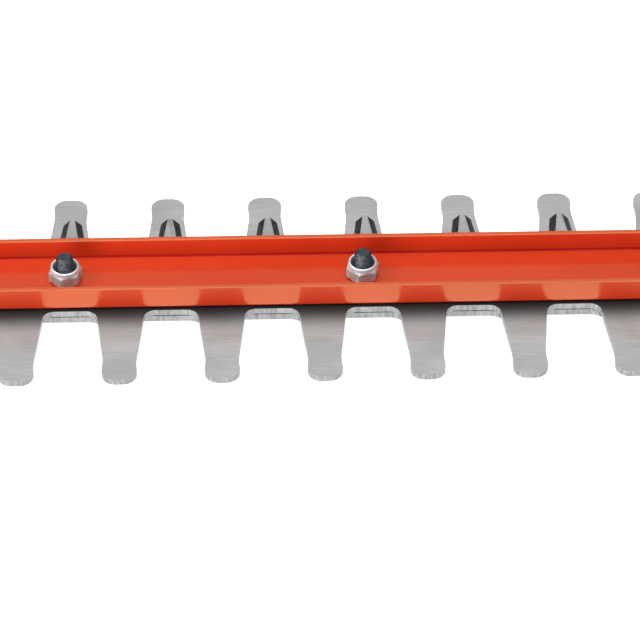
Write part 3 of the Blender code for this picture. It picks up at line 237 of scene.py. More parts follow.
# %% Turned shapes
def turned(rows, sides=48, flats=0.0, ring=False):
    """Turn a profile of (radius, height) rows round Z. Where the radius passes the flats, the
    shape is cut back to a hexagon. A ring's last row closes on its first."""
    bm = bmesh.new()
    loops = [[] for _ in rows]
    for (radius, height), loop in zip(rows, loops):
        for k in range(sides):
            angle = 2 * math.pi * k / sides
            reach = radius
            if flats:
                reach = min(radius, flats / 2 / math.cos(angle % (math.pi / 3) - math.pi / 6))
            loop.append(bm.verts.new((reach * math.cos(angle), reach * math.sin(angle), height)))
    return stitched(bm, loops, ring)


def moved(bm, x, y=0.0):
    bmesh.ops.translate(bm, verts=bm.verts, vec=(x, y, 0.0))
    return bm


def joined(*parts):
    """Put several bmeshes into one."""
    whole = bmesh.new()
    for part in parts:
        mesh = bpy.data.meshes.new("part")
        bmesh.ops.recalc_face_normals(part, faces=part.faces)
        part.to_mesh(mesh)
        part.free()
        whole.from_mesh(mesh)
        bpy.data.meshes.remove(mesh)
    return whole


# %% Hand a finished piece to the frame
def hand_in(obj, body, slot, *nodes):
    """Say which body a piece rides on and which parts it replaces. The slot is not used."""
    if nodes:
        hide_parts(*nodes)
    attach(obj, body)


# %% [markdown]
# ## A small kit for nodes
# Materials and Geometry Nodes are both trees of nodes.


# %% The wiring kit
class Wiring:
    """A node tree being wired up."""

    def __init__(self, tree):
        self.tree = tree

    def feed(self, value, socket):
        if isinstance(value, bpy.types.NodeSocket):
            self.tree.links.new(value, socket)
        else:
            socket.default_value = value

    def add(self, kind, inputs=None, **settings):
        """Add a node, set its options and feed its inputs."""
        node = self.tree.nodes.new(kind)
        for label, value in settings.items():
            setattr(node, label, value)
        for label, value in (inputs or {}).items():
            self.feed(value, node.inputs[label])
        return node

    def sum(self, operation, *values):
        """A step of arithmetic."""
        node = self.add("ShaderNodeMath", operation=operation)
        for value, socket in zip(values, node.inputs):
            self.feed(value, socket)
        return node.outputs[0]


# %% [markdown]
# ## A small kit for finishes
# A finish is one Principled shader and a few patterns in the object's own coordinates. `grain`
# is noise of a stated size in metres, and `between` turns it into a range of values. `vary` lets
# a tone or a gloss follow a grain, and `press` presses one into the surface.


# %% The finish kit
class Finish(Wiring):
    """A material being mixed."""

    def __init__(self, name, colour, roughness, metallic=0.0, constants=None):
        self.material = bpy.data.materials.new(name)
        self.material.use_nodes = True
        super().__init__(self.material.node_tree)
        self.shader = self.tree.nodes["Principled BSDF"]
        self.place = self.add("ShaderNodeTexCoord").outputs["Object"]
        for label, value in {"Base Color": (*colour, 1.0), "Roughness": roughness,
                             "Metallic": metallic, **(constants or {})}.items():
            self.set(label, value)

    def set(self, label, value):
        self.feed(value, self.shader.inputs[label])

    def grain(self, size, stretch=(1, 1, 1), detail=3.0):
        """Noise with spots about `size` metres across, drawn out by `stretch`."""
        mapping = self.add("ShaderNodeMapping", {
            "Vector": self.place, "Scale": [1 / s for s in stretch]})
        return self.add("ShaderNodeTexNoise", {
            "Vector": mapping.outputs["Vector"], "Scale": 1 / size, "Detail": detail}).outputs[0]

    def between(self, pattern, low, high, start=0.3, stop=0.7):
        """The pattern as a smooth range of values from low to high."""
        return self.add("ShaderNodeMapRange", {
            "Value": pattern, "From Min": start, "From Max": stop, "To Min": low, "To Max": high,
        }, interpolation_type="SMOOTHSTEP").outputs["Result"]

    def along(self, axis):
        """The place along one axis, in metres from the frame's origin."""
        return self.add("ShaderNodeSeparateXYZ", {0: self.place}).outputs[axis]

    def tones(self, pattern, first, second):
        """A colour that goes from the first to the second as the pattern rises."""
        mix = self.add("ShaderNodeMix", {0: pattern}, data_type="RGBA")
        for colour, socket in ((first, mix.inputs[6]), (second, mix.inputs[7])):
            self.feed((*colour, 1.0) if isinstance(colour, tuple) else colour, socket)
        return mix.outputs[2]

    def vary(self, label, first, second, *grain):
        """Let one of the shader's inputs wander between two numbers, or two colours."""
        pattern = self.grain(*grain)
        if isinstance(first, float):
            self.set(label, self.between(pattern, first, second))
        else:
            self.set(label, self.tones(self.between(pattern, 0.0, 1.0), first, second))
        return self

    def press(self, depth, *grain):
        """Press a grain into the surface, `depth` metres deep."""
        bump = self.add("ShaderNodeBump", {"Distance": depth, "Height": self.grain(*grain)})
        self.set("Normal", bump.outputs["Normal"])
        return self


# %% [markdown]
# ## Metal finishes
# The blades are cold-rolled steel, ground flat along their length, so their grain runs along X
# in fine long streaks. Where an edge has been ground or has rubbed, the metal is brighter. The
# nuts are zinc plated, and the bolts have a black oxide skin.


# %% Blade steel, bright edges, sheared walls and ground flanks
def blade_steel():
    """Fine streaks along the blade. Beside the channel the steel is darkened with painted shade, in
    place of the channel's shade and its dark reflection in the steel. On the side of the blunt
    teeth a band of painted shade, darker and less metallic, reaches further out, and that whole
    side is a little darker, which is painted shade too."""
    steel = Finish("Ground blade steel", (0.7, 0.7, 0.7), 0.4, 1.0)
    streaks = steel.grain(0.0004, (24, 1, 1), 4.0)
    x, y = steel.along("X"), steel.along("Y")
    past_end = steel.between(x, 0.0, 0.012, channel_high.x, channel_high.x + 0.004)
    from_core = steel.sum("ADD", steel.sum("ABSOLUTE", y), past_end)
    # painted shade: the steel darkens towards the channel, in place of its shade and dark
    # reflection
    clear_of_painted_shade = steel.between(from_core, 0.05, 1.0, 0.0140, 0.0250)
    light = steel.sum("MULTIPLY", steel.between(streaks, 0.86, 1.0), clear_of_painted_shade)
    on_blunt_side = steel.between(y, 1.0, 0.0, -0.012, 0.0)
    # painted shade: a darker, less metallic band on the blunt side, beside the channel
    painted_shade_band = steel.sum("MULTIPLY", steel.between(y, 0.0, 1.0, -0.0330, -0.0145), on_blunt_side)
    beside_channel = steel.between(x, 1.0, 0.0, channel_high.x - 0.004, channel_high.x)
    painted_shade_band = steel.sum("MULTIPLY", painted_shade_band, beside_channel)
    # painted shade: the blunt side's steel is a little darker than the cutter side's
    side_shaded_steel = steel.tones(on_blunt_side, (0.82, 0.825, 0.825), (0.745, 0.78, 0.78))
    metal = steel.tones(painted_shade_band, side_shaded_steel, (0.27, 0.41, 0.425))
    steel.set("Base Color", steel.tones(light, (0.02, 0.024, 0.026), metal))
    steel.set("Metallic", steel.between(painted_shade_band, 1.0, 0.45, 0.0, 1.0))
    steel.vary("Roughness", 0.36, 0.48, 0.012, (2, 1, 1))
    return steel.press(0.00001, 0.0004, (24, 1, 1), 4.0).material


BLADE_STEEL = blade_steel()
# an edge that has been ground or has rubbed
BRIGHT_EDGE = (Finish("Bright rubbed edge", (0.95, 0.95, 0.94), 0.24, 0.35)
               .vary("Roughness", 0.18, 0.34, 0.0004, (12, 1, 1))
               .press(0.00001, 0.0004, (12, 1, 1)).material)
# a punch leaves the wall of a blade torn and dull
SHEARED_WALL = (Finish("Sheared wall", (0.3, 0.3, 0.3), 0.5, 1.0)
                .vary("Base Color", (0.28, 0.285, 0.29), (0.50, 0.50, 0.495), 0.0009, (1, 1, 4))
                .vary("Roughness", 0.42, 0.58, 0.0009, (1, 1, 4))
                .press(0.000012, 0.0009, (1, 1, 4)).material)
# a grinding wheel leaves the flank of a cutter crossed by fine lines; the flank's dark tone is
# painted shade, for the dark reflection a sloped flank shows
GROUND_FLANK = (Finish("Ground flank", (0.1, 0.1, 0.1), 0.32, 1.0)
                .vary("Base Color", (0.10, 0.105, 0.11), (0.24, 0.245, 0.25), 0.0004, (1, 10, 1))
                .vary("Roughness", 0.26, 0.40, 0.0004, (1, 10, 1))
                .press(0.00002, 0.0004, (1, 10, 1)).material)

# %% Zinc, black oxide, plain steel and cast aluminium
ZINC = (Finish("Bright zinc plate", (0.8, 0.8, 0.8), 0.34, 0.4)
        .vary("Base Color", (0.64, 0.76, 0.80), (0.80, 0.90, 0.94), 0.0018)
        .vary("Roughness", 0.28, 0.42, 0.0006).material)
# the nuts' hex flats: a darker, less metallic copy of the zinc, which is painted shade
SHADED_ZINC = (Finish("Dulled zinc plate", (0.5, 0.62, 0.66), 0.34, 0.25)
               .vary("Base Color", (0.38, 0.52, 0.57), (0.56, 0.70, 0.74), 0.0014).material)
BLACK_OXIDE = (Finish("Black oxide steel", (0.10, 0.105, 0.11), 0.34, 0.9)
               .vary("Base Color", (0.06, 0.065, 0.072), (0.13, 0.14, 0.155), 0.0009)
               .vary("Roughness", 0.38, 0.52, 0.002).material)
TURNED_STEEL = (Finish("Turned steel", (0.55, 0.55, 0.56), 0.3, 1.0)
                .vary("Roughness", 0.22, 0.4, 0.0005, (1, 1, 8))
                .press(0.00001, 0.0005, (1, 1, 8)).material)
CAST_ALUMINIUM = (Finish("Cast aluminium", (0.52, 0.53, 0.54), 0.48, 1.0)
                  .vary("Base Color", (0.46, 0.47, 0.48), (0.60, 0.61, 0.62), 0.02)
                  .vary("Roughness", 0.40, 0.58, 0.0011, (1, 1, 1), 4.0)
                  .press(0.00006, 0.0011, (1, 1, 1), 4.0).material)

# %% [markdown]
# ## Paint and plastics
# The channel is dipped and baked, so its paint is glossy and very slightly wavy, like the skin
# of an orange. The housing is moulded: spark-eroded moulds leave a fine dull grain. The grips
# are a soft rubber that is nearly matt.


# %% Red paint, with a painted highlight on the cut rims and painted shade in the bends
def red_paint(name, deep, light, gloss=1.0):
    return (Finish(name, light, 0.16, 0.0, {
        "Specular Tint": (0.6, 1.0, 0.45, 1.0), "Specular IOR Level": gloss})
        .vary("Base Color", deep, light, 0.02, (3, 1, 1))
        .vary("Roughness", 0.12, 0.22, 0.004)
        .press(0.000006, 0.0022, (1, 1, 1), 1.0).material)


RED_PAINT = red_paint("Baked red paint", (0.63, 0.034, 0.010), (0.68, 0.041, 0.013))
# a lighter orange on the rims: a painted highlight
RIM_HIGHLIGHT_PAINT = red_paint("Thin paint on the rims", (0.58, 0.078, 0.032), (0.64, 0.096, 0.040))
# a darker red without gloss in the inner bends: painted shade in the crease
BEND_SHADE_PAINT = red_paint("Paint run into the bends", (0.38, 0.014, 0.012), (0.44, 0.018, 0.014), 0.0)


# %% Moulded plastics
def moulded(name, dark, light, roughness, grain=0.00045, depth=0.00003):
    """A moulded plastic: a fine spark-eroded grain, and a slow drift of tone and gloss."""
    return (Finish(name, light, roughness).vary("Base Color", dark, light, 0.03)
            .vary("Roughness", roughness - 0.06, roughness + 0.06, 0.01)
            .press(depth, grain, (1, 1, 1), 2.0).material)


RED_PLASTIC = moulded("Red housing plastic", (0.60, 0.034, 0.012), (0.68, 0.044, 0.016), 0.36)
BLACK_PLASTIC = moulded("Black plastic", (0.016, 0.016, 0.017), (0.026, 0.026, 0.028), 0.44)
GREY_PLASTIC = moulded("Dark grey plastic", (0.050, 0.051, 0.054), (0.066, 0.067, 0.070), 0.50)
SOFT_GRIP = moulded("Soft grip rubber", (0.020, 0.020, 0.021), (0.032, 0.032, 0.034), 0.74,
                    grain=0.0009, depth=0.00006)
NYLON = moulded("Nylon insert", (0.020, 0.022, 0.028), (0.040, 0.044, 0.052), 0.42)
CELL_WRAP = moulded("Cell wrap", (0.03, 0.14, 0.28), (0.05, 0.20, 0.36), 0.3)
BOARD_GREEN = moulded("Circuit board", (0.015, 0.12, 0.05), (0.025, 0.17, 0.075), 0.4)
print("finishes", len(bpy.data.materials))

# %% [markdown]
# ## Geometry Nodes for what repeats
# Fifteen teeth, five bolts, a row of ribs: each is one shape and a rule. A Geometry Nodes tree
# holds the rule, with named inputs for its sizes. `grow` runs a tree and keeps the result as a
# plain mesh, which is what travels to other programs.


# %% The recipe kit
class Recipe(Wiring):
    """A Geometry Nodes tree with named inputs, each a (name, kind, default)."""

    def __init__(self, name, inputs):
        super().__init__(bpy.data.node_groups.new(name, "GeometryNodeTree"))
        face = self.tree.interface
        face.new_socket("Geometry", in_out="INPUT", socket_type="NodeSocketGeometry")
        for label, kind, default in inputs:
            socket = face.new_socket(label, in_out="INPUT", socket_type="NodeSocket" + kind)
            if default is not None:
                socket.default_value = default
        face.new_socket("Geometry", in_out="OUTPUT", socket_type="NodeSocketGeometry")
        self.given = self.add("NodeGroupInput").outputs

    def close(self, geometry):
        """End the tree: real geometry, then its finish."""
        real = self.add("GeometryNodeRealizeInstances", {"Geometry": geometry})
        weld = self.add("GeometryNodeMergeByDistance",
                        {"Geometry": real.outputs[0], "Distance": 0.000002})
        finish = self.add("GeometryNodeSetMaterial",
                          {"Geometry": weld.outputs[0], "Material": self.given["Finish"]})
        self.add("NodeGroupOutput", {0: finish.outputs[0]})
        return self.tree


def grow(name, tree, base, **values):
    """Run a tree on a base object and keep what it makes as a new plain object."""
    modifier = base.modifiers.new(tree.name, "NODES")
    modifier.node_group = tree
    for socket in tree.interface.items_tree:
        label = socket.name.lower().replace(" ", "_")
        if socket.in_out == "INPUT" and label in values:
            modifier[socket.identifier] = values[label]
    graph = bpy.context.evaluated_depsgraph_get()
    mesh = bpy.data.meshes.new_from_object(base.evaluated_get(graph))
    discard(base)
    bm = bmesh.new()
    bm.from_mesh(mesh)
    made = settle(name, bm, [m for m in mesh.materials if m])
    print(tree.name, "made", name, len(made.data.polygons), "faces")
    return made


# %% A recipe for rows
def row_recipe():
    """Copies of a shape along a line, welded where they meet, with an object for both ends."""
    recipe = Recipe("Row", [
        ("Count", "Int", 5), ("Start", "Vector", (0, 0, 0)), ("Step", "Vector", (0.1, 0, 0)),
        ("Turn", "Float", 0.0), ("Ends", "Object", None), ("Finish", "Material", None),
    ])
    given = recipe.given
    line = recipe.add("GeometryNodeMeshLine", {
        "Count": given["Count"], "Start Location": given["Start"], "Offset": given["Step"],
    }, mode="OFFSET")
    turn = recipe.add("ShaderNodeCombineXYZ", {"Z": given["Turn"]})
    copies = recipe.add("GeometryNodeInstanceOnPoints", {
        "Points": line.outputs[0], "Instance": given["Geometry"], "Rotation": turn.outputs[0],
    })
    ends = recipe.add("GeometryNodeObjectInfo", {"Object": given["Ends"]})
    both = recipe.add("GeometryNodeJoinGeometry")
    recipe.feed(copies.outputs[0], both.inputs[0])
    recipe.feed(ends.outputs["Geometry"], both.inputs[0])
    return recipe.close(both.outputs[0])


ROW = row_recipe()


# %% A recipe for a screw thread
def thread_recipe():
    """A grid rolled into a rod: along its height and round it, the radius rises and falls once
    for each turn of the thread. Its first and last rows close up to a point on the axis."""
    recipe = Recipe("Thread", [
        ("Radius", "Float", 0.003), ("Depth", "Float", 0.0004), ("Lead", "Float", 0.001),
        ("Length", "Float", 0.01), ("Chamfer", "Float", 0.0006), ("Sides", "Int", 48),
        ("Rows", "Int", 90), ("Finish", "Material", None),
    ])
    given, sum_ = recipe.given, recipe.sum
    across = sum_("ADD", given["Sides"], 1.0)
    grid = recipe.add("GeometryNodeMeshGrid", {
        "Size X": 1.0, "Size Y": 1.0, "Vertices X": across, "Vertices Y": given["Rows"],
    })
    spot = recipe.add("ShaderNodeSeparateXYZ", {
        "Vector": recipe.add("GeometryNodeInputPosition").outputs[0],
    })
    round_share = sum_("ADD", spot.outputs["X"], 0.5)
    row = sum_("MULTIPLY", sum_("ADD", spot.outputs["Y"], 0.5),
               sum_("SUBTRACT", given["Rows"], 1.0))
    inner_rows = sum_("SUBTRACT", given["Rows"], 3.0)
    share = sum_("DIVIDE", sum_("SUBTRACT", row, 1.0), inner_rows)
    share = sum_("MINIMUM", sum_("MAXIMUM", share, 0.0), 1.0)
    height = sum_("MULTIPLY", share, given["Length"])
    phase = sum_("FRACT", sum_("SUBTRACT", sum_("DIVIDE", height, given["Lead"]), round_share))
    groove = sum_("ABSOLUTE", sum_("SUBTRACT", sum_("MULTIPLY", phase, 2.0), 1.0))
    groove = sum_("SMOOTH_MIN", groove, 0.86, 0.2)
    radius = sum_("SUBTRACT", given["Radius"], sum_("MULTIPLY", groove, given["Depth"]))
    to_end = sum_("SUBTRACT", given["Length"], height)
    end_radius = sum_("ADD", sum_("SUBTRACT", given["Radius"], given["Chamfer"]), to_end)
    radius = sum_("MINIMUM", radius, end_radius)
    from_middle = sum_("ABSOLUTE", spot.outputs["Y"])
    half_row = sum_("DIVIDE", 0.5, sum_("SUBTRACT", given["Rows"], 1.0))
    is_open = sum_("LESS_THAN", from_middle, sum_("SUBTRACT", 0.5, half_row))
    radius = sum_("MULTIPLY", radius, is_open)
    angle = sum_("MULTIPLY", round_share, 2 * math.pi)
    place = recipe.add("ShaderNodeCombineXYZ", {
        "X": sum_("MULTIPLY", radius, sum_("COSINE", angle)),
        "Y": sum_("MULTIPLY", radius, sum_("SINE", angle)),
        "Z": height,
    })
    rod = recipe.add("GeometryNodeSetPosition", {
        "Geometry": grid.outputs["Mesh"], "Position": place.outputs[0],
    })
    return recipe.close(rod.outputs[0])


THREAD = thread_recipe()
print("recipes", [g.name for g in bpy.data.node_groups])

# %% [markdown]
# ## The two blades
# Both blades are one pressing, and the lower one is turned over. On one side stand pointed
# cutters, whose flanks are ground back to a narrow ridge. On the other side stand long blunt
# teeth that keep branches and fingers off the cutters. One pitch of the blade is drawn once,
# open at both seams, and the row recipe repeats it and welds the seams.

# %% Sizes of the teeth
PITCH = 0.034
TEETH = 15
REST_SHIFT = 0.0007                      # how far each blade rests from the middle of its stroke
STROKE = PITCH / 4                       # either way
GAP = 0.0003                             # the play between parts that slide
CORE_HALF = (channel_high.y - channel_low.y) / 2 + 0.0004
SEAM_FAR, SEAM_NEAR = 0.0101, 0.005      # where a seam meets the two sides of the core
ROOT_FILLET = 0.004
CUTTER_TIP, BLUNT_TIP = blade_high.y, -blade_low.y
CUTTER_ROOT, CUTTER_WAIST, CUTTER_POINT = 0.0058, 0.0032, 0.0010         # half widths
CUTTER_SHOULDER = 0.0024
TIP_SETBACK = 0.0025
RIDGE_HALF, RIDGE_FLARE = 0.00086, 0.127  # the flat that the ground flanks leave between them
BLUNT_LEAD = 0.0005
BLUNT_ROOT, BLUNT_WAIST, BLUNT_HEAD = 0.0081, 0.0054, 0.00585            # half widths
BLUNT_TIP_ROUND = 0.0046
EDGE_WIDTH = 0.00036                     # of the bright line where an edge has rubbed
print("blade reaches", round(BLUNT_TIP, 4), round(CUTTER_TIP, 4))


# %% One pitch of a blade
def cutter_side():
    """The pointed cutter, from its left seam to its right one, on +Y."""
    left = [
        (-CUTTER_ROOT, CORE_HALF, ROOT_FILLET),
        (-CUTTER_WAIST, CUTTER_TIP - CUTTER_SHOULDER, 0.0008),
        (-CUTTER_POINT, CUTTER_TIP, 0.0003),
    ]
    cutter = left + [(-x, y, r) for x, y, r in reversed(left)]
    return [(-SEAM_FAR, CORE_HALF, 0.0)] + [(x - BLUNT_LEAD, y, r) for x, y, r in cutter]


def blunt_side():
    """The long blunt tooth, half a pitch on, on -Y and from right to left."""
    left = [
        (-BLUNT_ROOT, CORE_HALF, ROOT_FILLET),
        (-BLUNT_WAIST, BLUNT_TIP - 0.0096, 0.03),
        (-BLUNT_HEAD, BLUNT_TIP - 0.0050, 0.003),
        (-BLUNT_HEAD, BLUNT_TIP, BLUNT_TIP_ROUND),
    ]
    tooth = left + [(-x, y, r) for x, y, r in reversed(left)]
    return [(PITCH / 2 + x, -y, r) for x, y, r in reversed(tooth)]


def ground_back(x, y):
    """Where a point of a cutter's lower edge has its fellow on the upper, ground-back edge."""
    if y <= CORE_HALF:
        return x, y
    along = min((y - CORE_HALF) / ROOT_FILLET, 1.0)
    run_out = along * along * (3 - 2 * along)
    from_tip = (CUTTER_TIP - y) / CUTTER_SHOULDER
    ridge_half = RIDGE_HALF + RIDGE_FLARE * CUTTER_SHOULDER * max(from_tip - 1, 0.0)
    from_middle = x + BLUNT_LEAD
    width = max(abs(from_middle) - ridge_half, 0.0) * run_out
    back = TIP_SETBACK * max(1 - from_tip, 0.0)
    return x - math.copysign(width, from_middle), y - back


def open_shell(outline, seams):
    """A slab of the blade's thickness, with the walls between the named seam points left out."""
    thick = blade_high.z - blade_low.z
    bm = bmesh.new()
    lower = [bm.verts.new((x, y, 0.0)) for x, y in outline]
    upper = [bm.verts.new((*ground_back(x, y), thick)) for x, y in outline]
    bm.faces.new(lower)
    bm.faces.new(upper)
    for i, here in enumerate(outline):
        j = (i + 1) % len(outline)
        if not any(math.dist(here, a) + math.dist(outline[j], b) < 1e-6 for a, b in seams):
            bm.faces.new((lower[i], lower[j], upper[j], upper[i]))
    return bm


right_seam = ((PITCH - SEAM_FAR, CORE_HALF), (PITCH - SEAM_NEAR, -CORE_HALF))
left_seam = ((-SEAM_NEAR, -CORE_HALF), (-SEAM_FAR, CORE_HALF))
pitch_outline = arc_corners(
    cutter_side() + [(*spot, 0.0) for spot in right_seam] + blunt_side() + [(*left_seam[0], 0.0)])
print("one pitch has", len(pitch_outline), "points")


# %% The ends of a blade
NECK_HALF = 0.011
YOKE_WALL = 0.006
case_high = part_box("gearcase_body")[1]
neck_end = case_high.x + STROKE + REST_SHIFT + 0.003
cam_low, cam_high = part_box("upper_cam")
yoke_x, yoke_y = REST_SHIFT - blade_low.x, (cam_high.x - cam_low.x) / 2 + STROKE + GAP + YOKE_WALL


def mirrored(start, half, end):
    """An outline down one side and back along the other, between two seam points."""
    return [start] + half + [(x, -y, radius) for x, y, radius in reversed(half)] + [end]


def blade_ends(first):
    """The rear, with its neck and the yoke that a cam works in, and the plain front end."""
    end = first + PITCH * TEETH
    rear = mirrored((first - SEAM_FAR, CORE_HALF, 0.0), [
        (neck_end + 0.003, CORE_HALF, 0.002), (neck_end, NECK_HALF, 0.002),
        (yoke_x + 0.003, NECK_HALF, 0.001), (yoke_x, NECK_HALF + 0.004, 0.001),
        (yoke_x, yoke_y, 0.004), (-yoke_x, yoke_y, 0.006),
    ], (first - SEAM_NEAR, -CORE_HALF, 0.0))
    front = mirrored((end - SEAM_FAR, CORE_HALF, 0.0), [(end, CORE_HALF, 0.003)],
                     (end - SEAM_NEAR, -CORE_HALF, 0.0))
    return joined(*[open_shell(arc_corners(outline, 5), [(outline[-1][:2], outline[0][:2])])
                    for outline in (rear, front)])


# %% Build both blades
spacer_low, spacer_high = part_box("blade_spacer_1")
spacer_radius = (spacer_high.x - spacer_low.x) / 2


def blade(name, body, shift, flipped):
    """A row of pitches between its two ends, with a slot for the cam and one for each spacer."""
    low, high = (under_low, under_high) if flipped else (blade_low, blade_high)
    first = high.x - shift - TEETH * PITCH
    base = settle("one pitch", open_shell(pitch_outline, [right_seam, left_seam]))
    ends = settle("blade ends", blade_ends(first))
    ends.hide_render = True
    obj = grow(name, ROW, base, count=TEETH, start=(first, 0.0, 0.0), step=(PITCH, 0.0, 0.0),
               ends=ends, finish=BLADE_STEEL)
    discard(ends)
    if flipped:
        obj.data.transform(Matrix.Rotation(math.pi, 4, "X"))
    obj.data.transform(Matrix.Translation((shift, 0.0, high.z if flipped else low.z)))
    slots = [(shift, yoke_x - YOKE_WALL, yoke_y - YOKE_WALL, 0.006, 8)]
    for x in bolt_places:
        half = spacer_radius + GAP
        slots.append((x + shift, STROKE + REST_SHIFT + GAP + half, half, half * 0.999, 10))
    holes = [slab(rounded((x - reach, -half), (x + reach, half), radius, steps),
                  low.z - 0.001, high.z + 0.001) for x, reach, half, radius, steps in slots]
    shape_with(obj, settle("blade slots", joined(*holes)))
    for finish in (BRIGHT_EDGE, SHEARED_WALL, GROUND_FLANK):
        obj.data.materials.append(finish)
    # sloped faces take the ground flank, whose dark tone is painted shade
    for face in obj.data.polygons:
        steep = abs(face.normal.z)
        face.material_index = 0 if steep > 0.95 else 3 if steep > 0.15 else 2
    ease(obj, EDGE_WIDTH, segments=1, angle=30, edge_finish=1, crisp=True)
    hand_in(obj, body, "blade_steel", body)
    print(name, "reaches", round(max(v.co.x for v in obj.data.vertices), 4))


blade("upper_blade_ground", "upper_blade", REST_SHIFT, False)
blade("lower_blade_ground", "lower_blade", -REST_SHIFT, True)

# %% [markdown]
# ## The guide channel
# The channel is a strip of steel bent into a U, painted red. It keeps the long thin blades flat
# and takes the bolts. Drawn as its cross-section and pushed along X, its two bends are true
# arcs, and its cut rims are only slightly rounded, as sheared sheet is under paint.

# %% Bend the channel
SHEET = 0.0019
OUTER_BEND, INNER_BEND = 0.0018, 0.0006
BOLT_RADIUS, BAR_SCREW_RADIUS = 0.00295, 0.0025
half = channel_high.y
inner = half - SHEET
floor_z = channel_low.z + SHEET
section = arc_corners([
    (-half, channel_high.z, 0.0), (-half, channel_low.z, OUTER_BEND),
    (half, channel_low.z, OUTER_BEND), (half, channel_high.z, 0.0),
    (inner, channel_high.z, 0.0), (inner, floor_z, INNER_BEND),
    (-inner, floor_z, INNER_BEND), (-inner, channel_high.z, 0.0),
], 8)
channel = settle("guide_channel_bent", slab(section, channel_low.x, channel_high.x, "YZ"),
                 [RED_PAINT])
bar_screw_boxes = [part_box(f"bar_screw_{k}") for k in (1, 2)]
bar_screw_places = [(low.x + high.x) / 2 for low, high in bar_screw_boxes]
holes = []
for places, radius in ((bolt_places, BOLT_RADIUS), (bar_screw_places, BAR_SCREW_RADIUS)):
    rows = [(radius + GAP, channel_low.z - 0.001), (radius + GAP, floor_z + 0.001)]
    holes += [moved(turned(rows, 40), x) for x in places]
shape_with(channel, settle("channel holes", joined(*holes)))
ease(channel, 0.00035, segments=3, angle=50)
for paint in (RIM_HIGHLIGHT_PAINT, BEND_SHADE_PAINT):
    channel.data.materials.append(paint)
# the rims take the lighter orange, a painted highlight; the inner bends take the darker red,
# painted shade
for face in channel.data.polygons:
    spot, inside = face.center, inner + 0.00001
    if spot.z > channel_high.z - 0.0004 and face.normal.z > 0.2:
        face.material_index = 1
    elif floor_z - 0.00001 < spot.z < floor_z + INNER_BEND and abs(spot.y) < inside \
            and 0.05 < abs(face.normal.y) < 0.999:
        face.material_index = 2
hand_in(channel, "tool", "red_paint", "guide_channel")
print("channel", len(channel.data.polygons), "faces")

# %% [markdown]
# ## Bolts and lock nuts
# Five flanged bolts come up through spacers, so that the blades slide on the spacers and not on
# the threads. A nut with a nylon ring in its collar can't shake loose. The threads are real
# geometry: the thread recipe is a rod whose radius follows the turn and the height.

# %% Bolts with real threads
THREAD_LEAD, THREAD_DEPTH = 0.001, 0.00052
THREAD_SIDES, ROWS_A_TURN = 60, 12
FLANGE_HEIGHT = 0.0014
HEX_FLATS = 0.010                        # across the flats of the bolts' heads and the nuts
bolt_low, bolt_high = bolt_boxes[0]
flange_top = under_low.z - GAP
flange_radius = (bolt_high.x - bolt_low.x) / 2


def bolt_parts():
    """Head, flange and plain shank, with the head's lower face slightly dished."""
    head = turned([
        (0.0034, bolt_low.z + 0.0004), (0.0044, bolt_low.z), (0.0049, bolt_low.z),
        (0.0059, bolt_low.z + 0.0006), (0.0059, flange_top - FLANGE_HEIGHT + 0.0002),
    ], 72, flats=HEX_FLATS)
    flange = turned([
        (flange_radius - 0.0012, flange_top - FLANGE_HEIGHT - 0.0001),
        (flange_radius - 0.0002, flange_top - FLANGE_HEIGHT * 0.55),
        (flange_radius, flange_top - FLANGE_HEIGHT * 0.35), (flange_radius, flange_top),
    ], 60)
    shank = turned([(BOLT_RADIUS, flange_top - 0.0003), (BOLT_RADIUS, floor_z)], 40)
    return joined(head, flange, shank)


thread_length = bolt_high.z - floor_z
thread = grow("thread", THREAD, settle("empty", bmesh.new()), radius=BOLT_RADIUS,
              depth=THREAD_DEPTH, lead=THREAD_LEAD, length=thread_length, chamfer=0.0008,
              sides=THREAD_SIDES, rows=int(thread_length / THREAD_LEAD * ROWS_A_TURN),
              finish=BLACK_OXIDE)
thread.data.transform(Matrix.Translation((0.0, 0.0, floor_z)))
one_bolt = bmesh.new()
one_bolt.from_mesh(thread.data)
discard(thread)
bolts = grow("blade_bolts_threaded", ROW, settle("one bolt", joined(bolt_parts(), one_bolt)),
             finish=BLACK_OXIDE, **AT_BOLTS)
hand_in(bolts, "tool", "black_steel", *[f"blade_bolt_{k}" for k in range(1, 6)])

# %% Lock nuts and their nylon rings
NUT_TURN = math.radians(15.0)
HEX_HEIGHT = 0.0044
z, top = nut_low.z, nut_high.z
hex_top = z + HEX_HEIGHT
nut_rows = [
    (0.0033, z), (0.0049, z), (0.0059, z + 0.0005), (0.0059, hex_top - 0.0006),
    (0.0052, hex_top - 0.00005), (0.0050, hex_top + 0.0001),
    (0.00492, hex_top + 0.0003), (0.0049, top - 0.0006),
    (0.00478, top - 0.0002), (0.00448, top), (0.0042, top - 0.0001),
    (0.00402, top - 0.0004), (0.00398, hex_top - 0.0002),
    (0.0033, hex_top - 0.0006),
]
ring_rows = [
    (0.00396, hex_top - 0.0001), (0.00396, top - 0.0008),
    (0.0036, top - 0.0006), (0.00312, top - 0.0007),
    (0.00300, top - 0.0009), (0.00300, hex_top - 0.0001),
]
nuts = grow("lock_nuts", ROW, settle("one nut", turned(nut_rows, 96, HEX_FLATS, ring=True)),
            turn=NUT_TURN, finish=ZINC, **AT_BOLTS)
nuts.data.materials.append(SHADED_ZINC)
# the hex flats take the darker zinc: painted shade
for face in nuts.data.polygons:
    on_flat = face.center.z < min(hex_top - 0.0003, top - 0.002)
    face.material_index = int(on_flat and abs(face.normal.z) < 0.3)
rings = grow("nylon_rings", ROW, settle("one ring", turned(ring_rows, 60, ring=True)),
             finish=NYLON, **AT_BOLTS)
hand_in(nuts, "tool", "zinc", *[f"blade_nut_{k}" for k in range(1, 6)])
hand_in(rings, "tool", "black_plastic")

